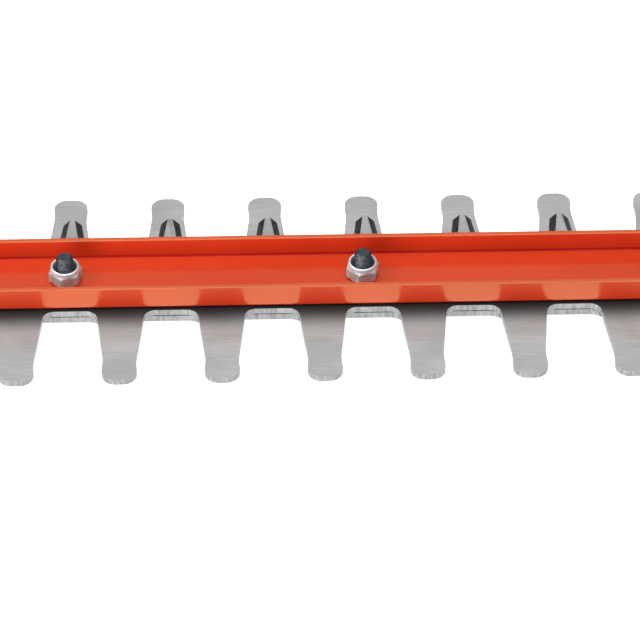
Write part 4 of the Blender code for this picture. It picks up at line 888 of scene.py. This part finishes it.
# %% [markdown]
# ## What each part is made of
# Every part takes its finish from this table, found by the longest name that fits. The second word
# names a slot, which the script does not use.

# %% The table of finishes
MADE_OF = [
    (TURNED_STEEL, "steel", "blade_spacer gear_shaft drive_gear upper_cam lower_cam "
     "upper_bearing lower_bearing motor_pinion trigger_pin trigger_spring lock_off_spring"),
    (ZINC, "zinc", "motor_can"),
    (BLACK_OXIDE, "black_steel", "motor_front_plate motor_armature"),
    (CAST_ALUMINIUM, "cast_aluminium", "gearcase"),
    (RED_PLASTIC, "red_plastic", "housing battery_latch"),
    (BLACK_PLASTIC, "black_plastic", "cooling_fan trigger power_switch lock_off_seat battery_case"),
    (GREY_PLASTIC, "grey_plastic", "lock_off_button hand_guard battery_rail_plate"),
    (CELL_WRAP, "cell_wrap", "battery_cell"),
    (BOARD_GREEN, "board_green", "control_board"),
]


def made_of(name):
    """The finish and the slot of a part."""
    fits = [(len(key), row) for row in MADE_OF for key in row[2].split() if name.startswith(key)]
    return max(fits, key=lambda fit: fit[0])[1][:2]


# %% [markdown]
# ## Refining the castings and mouldings
# A casting or a moulding has no truly sharp corner. Each of these parts is copied from the
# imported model, its flat faces are made whole again, and its corners get a small true radius.


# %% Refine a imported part
def refined(node, width, segments=2, angle=35):
    """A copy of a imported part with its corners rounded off."""
    source = frame["nodes"][node]
    finish, slot = made_of(node)
    bm = bmesh.new()
    bm.from_mesh(source.data)
    bm.transform(source.matrix_world)
    bmesh.ops.remove_doubles(bm, verts=bm.verts, dist=0.000002)
    bmesh.ops.dissolve_limit(bm, angle_limit=math.radians(0.6), verts=bm.verts, edges=bm.edges)
    obj = ease(settle(node + "_fine", bm, [finish], sharp=angle), width, segments, angle)
    hand_in(obj, body_of(source)[0], slot, node)
    return obj


for node, width, segments in (
    ("gearcase_body", 0.0012, 3), ("gearcase_cover", 0.0012, 3),
    ("housing_left", 0.0005, 2), ("housing_right", 0.0005, 2), ("trigger", 0.0004, 2),
    ("lock_off_button", 0.0004, 2), ("hand_guard", 0.0014, 3), ("battery_case", 0.0006, 2),
    ("battery_rail_plate", 0.0005, 2), ("battery_latch", 0.0006, 2),
):
    made = refined(node, width, segments)
    print(made.name, len(made.data.polygons), "faces")

# %% [markdown]
# ## The front handle
# A round tube bends across the tool for the second hand. Its top is covered in soft rubber,
# grooved so that it doesn't slip. The switch bar hangs below it on two posts that slide up into
# the tube.

# %% A round section carried along a path
BAIL_RADIUS, BAIL_CORNER, BAIL_HALF = 0.012, 0.028, 0.072
GRIP_REACH, GRIP_STEP = 0.040, 0.0005
GROOVE_PITCH, GROOVE_DEPTH = 0.005, 0.0008


def bent_path(corners, radius, steps):
    """A path with each inner corner rounded."""
    path = [corners[0]]
    for before, here, after in zip(corners, corners[1:], corners[2:]):
        into, out = before - here, after - here
        reach = min(radius, into.length * 0.49, out.length * 0.49)
        start = here + into.normalized() * reach
        end = here + out.normalized() * reach
        for k in range(steps + 1):
            t = k / steps
            path.append(start.lerp(here, t).lerp(here.lerp(end, t), t))
    return path + [corners[-1]]


def swept(path, radii, sides):
    """Carry a circle along a path that lies in one plane, with a radius for each point."""
    flat = (path[1] - path[0]).cross(path[len(path) // 2] - path[0]).normalized()
    bm = bmesh.new()
    loops = []
    for i, spot in enumerate(path):
        ahead = path[min(i + 1, len(path) - 1)] - path[max(i - 1, 0)]
        across = ahead.normalized().cross(flat)
        angles = [2 * math.pi * k / sides for k in range(sides)]
        loops.append([bm.verts.new(spot + (flat * math.cos(a) + across * math.sin(a)) * radii[i])
                      for a in angles])
    return stitched(bm, loops)


# %% Bend the handle and groove its grip
handle_low, handle_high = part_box("front_handle")
foot_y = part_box("housing_left")[1].y + GAP
foot_x, foot_z = handle_low.x + BAIL_RADIUS, handle_low.z + BAIL_RADIUS
top_x, top_z = handle_high.x - BAIL_RADIUS, handle_high.z - BAIL_RADIUS
bail = bent_path([Vector(c) for c in (
    (foot_x, -foot_y, foot_z), (foot_x, -BAIL_HALF, foot_z), (top_x, -BAIL_HALF + 0.004, top_z),
    (top_x, BAIL_HALF - 0.004, top_z), (foot_x, BAIL_HALF, foot_z), (foot_x, foot_y, foot_z),
)], BAIL_CORNER, 14)
middle = len(bail) // 2
grip_path = [Vector((top_x, -GRIP_REACH + GRIP_STEP * k, top_z))
             for k in range(round(2 * GRIP_REACH / GRIP_STEP) + 1)]
path = bail[:middle] + grip_path + bail[middle:]
radii = []
for spot in path:
    on_grip = spot.z > top_z - 0.0001 and abs(spot.y) < GRIP_REACH
    wave = abs(math.cos(math.pi * spot.y / GROOVE_PITCH)) if on_grip else 1.0
    radii.append(BAIL_RADIUS - GROOVE_DEPTH * max(0.0, 1 - wave * 1.6))
handle = settle("front_handle_tube", swept(path, radii, 40), [BLACK_PLASTIC, SOFT_GRIP])
bar_low, bar_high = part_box("front_switch_bar")
POST_RADIUS = 0.003
BAR_TRAVEL = 0.005
post_places = [side * (bar_high.y - bar_low.y) * 0.35 for side in (-1, 1)]
rows = [(POST_RADIUS + GAP, top_z - 0.03), (POST_RADIUS + GAP, bar_high.z + BAR_TRAVEL + 0.001)]
bores = [moved(turned(rows, 32), top_x, y) for y in post_places]
shape_with(handle, settle("post bores", joined(*bores)))
for face in handle.data.polygons:
    on_top = face.center.z > top_z - BAIL_RADIUS * 1.1 and abs(face.center.y) < GRIP_REACH
    face.material_index = int(on_top)
smooth(handle.data, 40)
hand_in(handle, "tool", "black_plastic", "front_handle")

# %% The switch bar and its posts
bar_radius = (bar_high.x - bar_low.x) / 2
bar_x, bar_z = (bar_low.x + bar_high.x) / 2, bar_low.z + bar_radius
bar_half = (bar_high.y - bar_low.y) / 2
end_rows = [(bar_radius - 0.0022, 0.0), (bar_radius - 0.0009, 0.0004),
            (bar_radius - 0.0003, 0.0011), (bar_radius, 0.0022)]
rows = [(r, h - bar_half) for r, h in end_rows] + [(r, bar_half - h) for r, h in end_rows[::-1]]
rod = turned(rows, 48)
rod.transform(Matrix.Translation((bar_x, 0.0, bar_z)) @ Matrix.Rotation(math.pi / 2, 4, "X"))
switch_bar = settle("front_switch_bar_round", rod, [SOFT_GRIP])
rows = [(POST_RADIUS, bar_z), (POST_RADIUS, bar_high.z - 0.0005),
        (POST_RADIUS - 0.0005, bar_high.z)]
posts = [moved(turned(rows, 32), bar_x, y) for y in post_places]
shape_with(switch_bar, settle("posts", joined(*posts)), "UNION")
smooth(switch_bar.data, 35)
hand_in(switch_bar, "switch_bar", "soft_grip", "front_switch_bar")
print("handle", len(handle.data.polygons), "bar", len(switch_bar.data.polygons), "faces")

# %% [markdown]
# ## Screws
# All the screws that show are socket screws: a turned head with a softened rim and a hexagonal
# socket. The same function makes each size, and the row recipe sets them in pairs.


# %% Socket screws
def socket_screw(radius, height, socket, shank_radius, shank):
    """A socket screw standing on Z = 0, with its shank below."""
    soft = radius * 0.12
    rows = [(shank_radius, -shank), (shank_radius, -0.00005), (radius - soft * 0.4, 0.0),
            (radius, soft * 0.4), (radius, height - soft), (radius - soft, height)]
    screw = settle("screw", turned(rows, 60), [BLACK_OXIDE])
    reach = socket / 2 / math.cos(math.pi / 6)
    hexagon = [(reach * math.cos(k * math.pi / 3), reach * math.sin(k * math.pi / 3))
               for k in range(6)]
    shape_with(screw, settle("socket", slab(hexagon, height * 0.5, height + 0.001)))
    return ease(screw, 0.00012, 2, 40)


HEAD_HEIGHT = 0.004
bar_screw_low, bar_screw_high = bar_screw_boxes[0]
head_radius = (bar_screw_high.x - bar_screw_low.x) / 2
seat_z = bar_screw_high.z - HEAD_HEIGHT
one = socket_screw(head_radius, HEAD_HEIGHT, 0.004, BAR_SCREW_RADIUS, seat_z - bar_screw_low.z)
bar_screws = grow("bar_screws_socket", ROW, one, count=2,
                  start=(bar_screw_places[0], 0.0, seat_z), turn=0.3,
                  step=(bar_screw_places[1] - bar_screw_places[0], 0.0, 0.0), finish=BLACK_OXIDE)
hand_in(bar_screws, "tool", "black_steel", "bar_screw_1", "bar_screw_2")
for name, x, y in (("case_screws_rear", 0.0395, 0.0315), ("case_screws_front", 0.0770, 0.0195)):
    one = socket_screw(0.0029, 0.0022, 0.0025, 0.0014, 0.0)
    pair = grow(name, ROW, one, count=2, start=(x, -y, case_high.z), step=(0.0, 2 * y, 0.0),
                turn=0.6, finish=BLACK_OXIDE)
    hand_in(pair, "tool", "black_steel")

# %% Screws that join the housing
HOUSING_HEAD = 0.0024
parts = []
for k in range(1, 5):
    low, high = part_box(f"housing_screw_{k}")
    radius = (high.x - low.x) / 2
    one = socket_screw(radius, HOUSING_HEAD, 0.003, 0.0018, high.y - low.y - HOUSING_HEAD)
    bm = bmesh.new()
    bm.from_mesh(one.data)
    centre = Vector(((low.x + high.x) / 2, low.y + HOUSING_HEAD, (low.z + high.z) / 2))
    bm.transform(Matrix.Translation(centre) @ Matrix.Rotation(math.pi / 2, 4, "X"))
    parts.append(bm)
    discard(one)
housing_screws = settle("housing_screws_socket", joined(*parts), [BLACK_OXIDE])
hand_in(housing_screws, "tool", "black_steel", *[f"housing_screw_{k}" for k in range(1, 5)])

# %% [markdown]
# ## Grip pads and ribs
# A pad of soft rubber is moulded on each side of the rear handle, and ribs stop the hand and the
# battery from slipping. A rib is drawn once for both sides, and the row recipe repeats it.

# %% Pads on the rear handle
GRIP_SIDE = 0.017
PAD = rounded((-0.2000, 0.1030), (-0.1190, 0.1245), 0.006)


def both_sides(name, outline, inner, outer, finishes=()):
    """An upright outline that stands out from both sides of the tool."""
    halves = [slab(outline, side * inner, side * outer, "XZ") for side in (-1, 1)]
    return settle(name, joined(*halves), finishes)


def rib(width, low, high, inner, outer):
    """A rib with rounded ends, for both sides."""
    outline = rounded((-width / 2, low), (width / 2, high), width * 0.499)
    return ease(both_sides("rib", outline, inner, outer), width * 0.2, 2, 50)


pads = both_sides("grip_pads", PAD, GRIP_SIDE - 0.0002, GRIP_SIDE + 0.0009, [SOFT_GRIP])
hand_in(ease(pads, 0.0004, 2), "tool", "soft_grip")
grip_ribs = grow("grip_ribs", ROW, rib(0.0016, 0.1070, 0.1205, GRIP_SIDE, GRIP_SIDE + 0.0014),
                 count=18, start=(-0.1955, 0.0, 0.0), step=(0.0042, 0.0, 0.0), finish=SOFT_GRIP)
hand_in(grip_ribs, "tool", "soft_grip")

# %% Ribs on the battery
pack_low, pack_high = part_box("battery_case")
battery_ribs = grow(
    "battery_ribs", ROW, rib(0.0018, 0.022, 0.100, pack_high.y - 0.0004, pack_high.y + 0.0008),
    count=5, start=(pack_low.x + 0.0062, 0.0, 0.0), step=(0.0036, 0.0, 0.0),
    finish=BLACK_PLASTIC)
hand_in(battery_ribs, "battery", "black_plastic")

# %% [markdown]
# ## Parts that keep their shape
# Springs, bearings, cells and the other parts inside need no finer shape, but each still gets
# the finish of what it is made of.

# %% Dress the kept parts
kept = 0
for name, obj in frame["nodes"].items():
    if obj.hide_render:
        continue
    for holder in obj.material_slots:
        holder.material = made_of(name)[0]
    smooth(obj.data, 32)
    kept += 1
print("dressed", kept, "kept parts")

# %% [markdown]
# ## The studio
# The tool stands on a plain white floor under four soft lights: one overhead, one low in front,
# one from the left, and a narrow strip along the blades' edges. The floor gives a little light
# of its own, as a lit table does. The sky is plain to look at, but what polished steel mirrors
# is darker towards the horizon, as dark flags beside a table make it.

# %% Floor
FLOOR_SIZE, FLOOR_GLOW = 12.0, 0.80
floor_bm = bmesh.new()
bmesh.ops.create_grid(floor_bm, x_segments=1, y_segments=1, size=FLOOR_SIZE / 2)
floor = settle("floor", floor_bm)
floor.data.transform(Matrix.Translation((0.17, 0.0, cad_box[0].z - 0.0005)))
table = Finish("White table", (0.9, 0.9, 0.9), 0.9, 0.0,
               {"Emission Color": (1.0, 1.0, 1.0, 1.0), "Emission Strength": FLOOR_GLOW})
floor.data.materials.append(table.material)
floor.visible_glossy = False
floor.visible_diffuse = False


# %% Sky and soft light
SKY_STRENGTH = 1.5
# from straight below, through the horizon at one half, to straight above
SKY_STOPS = [(0.0, 1.10), (0.10, 1.10), (0.30, 0.85), (0.42, 0.16), (0.50, 0.05), (0.57, 0.07),
             (0.70, 0.16), (0.84, 0.32), (0.92, 0.52), (1.0, 0.62)]


def sky():
    world = bpy.data.worlds.new("Studio")
    world.use_nodes = True
    wires = Wiring(world.node_tree)
    ground = wires.tree.nodes["Background"]
    look = wires.add("ShaderNodeTexCoord").outputs["Generated"]
    height = wires.add("ShaderNodeSeparateXYZ", {0: look}).outputs["Z"]
    span = wires.add("ShaderNodeMapRange", {"Value": height, "From Min": -1.0})
    ramp = wires.add("ShaderNodeValToRGB", {"Fac": span.outputs["Result"]})
    stops = ramp.color_ramp.elements
    for place, value in SKY_STOPS:
        stop = stops[0] if place == 0.0 else stops.new(place) if place < 1.0 else stops[-1]
        stop.color = (value, value, value, 1.0)
    seen = wires.add("ShaderNodeLightPath").outputs["Is Camera Ray"]
    plain = (1.0 / SKY_STRENGTH,) * 3 + (1.0,)
    mix = wires.add("ShaderNodeMix", {0: seen}, data_type="RGBA")
    wires.feed(ramp.outputs["Color"], mix.inputs[6])
    wires.feed(plain, mix.inputs[7])
    wires.feed(mix.outputs[2], ground.inputs["Color"])
    ground.inputs["Strength"].default_value = SKY_STRENGTH
    return world


def soft_light(name, place, aim, size, watts):
    light = bpy.data.lights.new(name, "AREA")
    light.shape = "RECTANGLE"
    light.size, light.size_y = size
    light.energy = watts
    obj = bpy.data.objects.new(name, light)
    obj.location = place
    obj.rotation_euler = (Vector(aim) - Vector(place)).to_track_quat("-Z", "Y").to_euler()
    bpy.context.scene.collection.objects.link(obj)


bpy.context.scene.world = sky()
for name, place, aim_x, size, watts in (
    ("overhead", (0.35, -0.15, 1.5), 0.3, (1.4, 1.0), 8.2),
    ("front left", (-0.45, -1.25, 0.26), 0.3, (0.9, 0.5), 16.0),
    ("key", (-0.8, -0.15, 1.1), 0.3, (0.5, 0.5), 8.0),
    ("edge strip", (0.35, -0.78, 0.90), 0.35, (1.2, 0.12), 1.0),
):
    soft_light(name, place, (aim_x, 0.0, 0.0), size, watts)
bpy.context.scene.view_settings.view_transform = "Standard"

# %% [markdown]
# ## The camera
# A long lens from about a metre away, looking down on the middle of the cutter bar, keeps the
# teeth almost parallel. The camera's place follows from the second bolt and three angles.

# %% Set up the camera
ELEVATION = math.radians(42.0)
YAW = math.radians(2.32)
ROLL = math.radians(0.63)
DISTANCE = 1.012
SENSOR = 36.0
FOCAL_LENGTH = 168.9
target = Vector((bolt_places[1] + 0.0858, -0.0174, blade_low.z - GAP / 2))
forward = Vector((math.sin(YAW) * math.cos(ELEVATION), math.cos(YAW) * math.cos(ELEVATION),
                  -math.sin(ELEVATION)))
right = Vector((math.cos(YAW), -math.sin(YAW), 0.0))
up = right.cross(forward)
right_rolled = right * math.cos(ROLL) + up * math.sin(ROLL)
up_rolled = up * math.cos(ROLL) - right * math.sin(ROLL)
place = Matrix((right_rolled, up_rolled, -forward)).transposed().to_4x4()
place.translation = target - forward * DISTANCE
lens = bpy.data.cameras.new("camera")
lens.sensor_width = SENSOR
lens.lens = FOCAL_LENGTH
camera = bpy.data.objects.new("camera", lens)
camera.matrix_world = place
bpy.context.scene.collection.objects.link(camera)
bpy.context.scene.camera = camera
print("camera at", [round(v, 3) for v in camera.location])
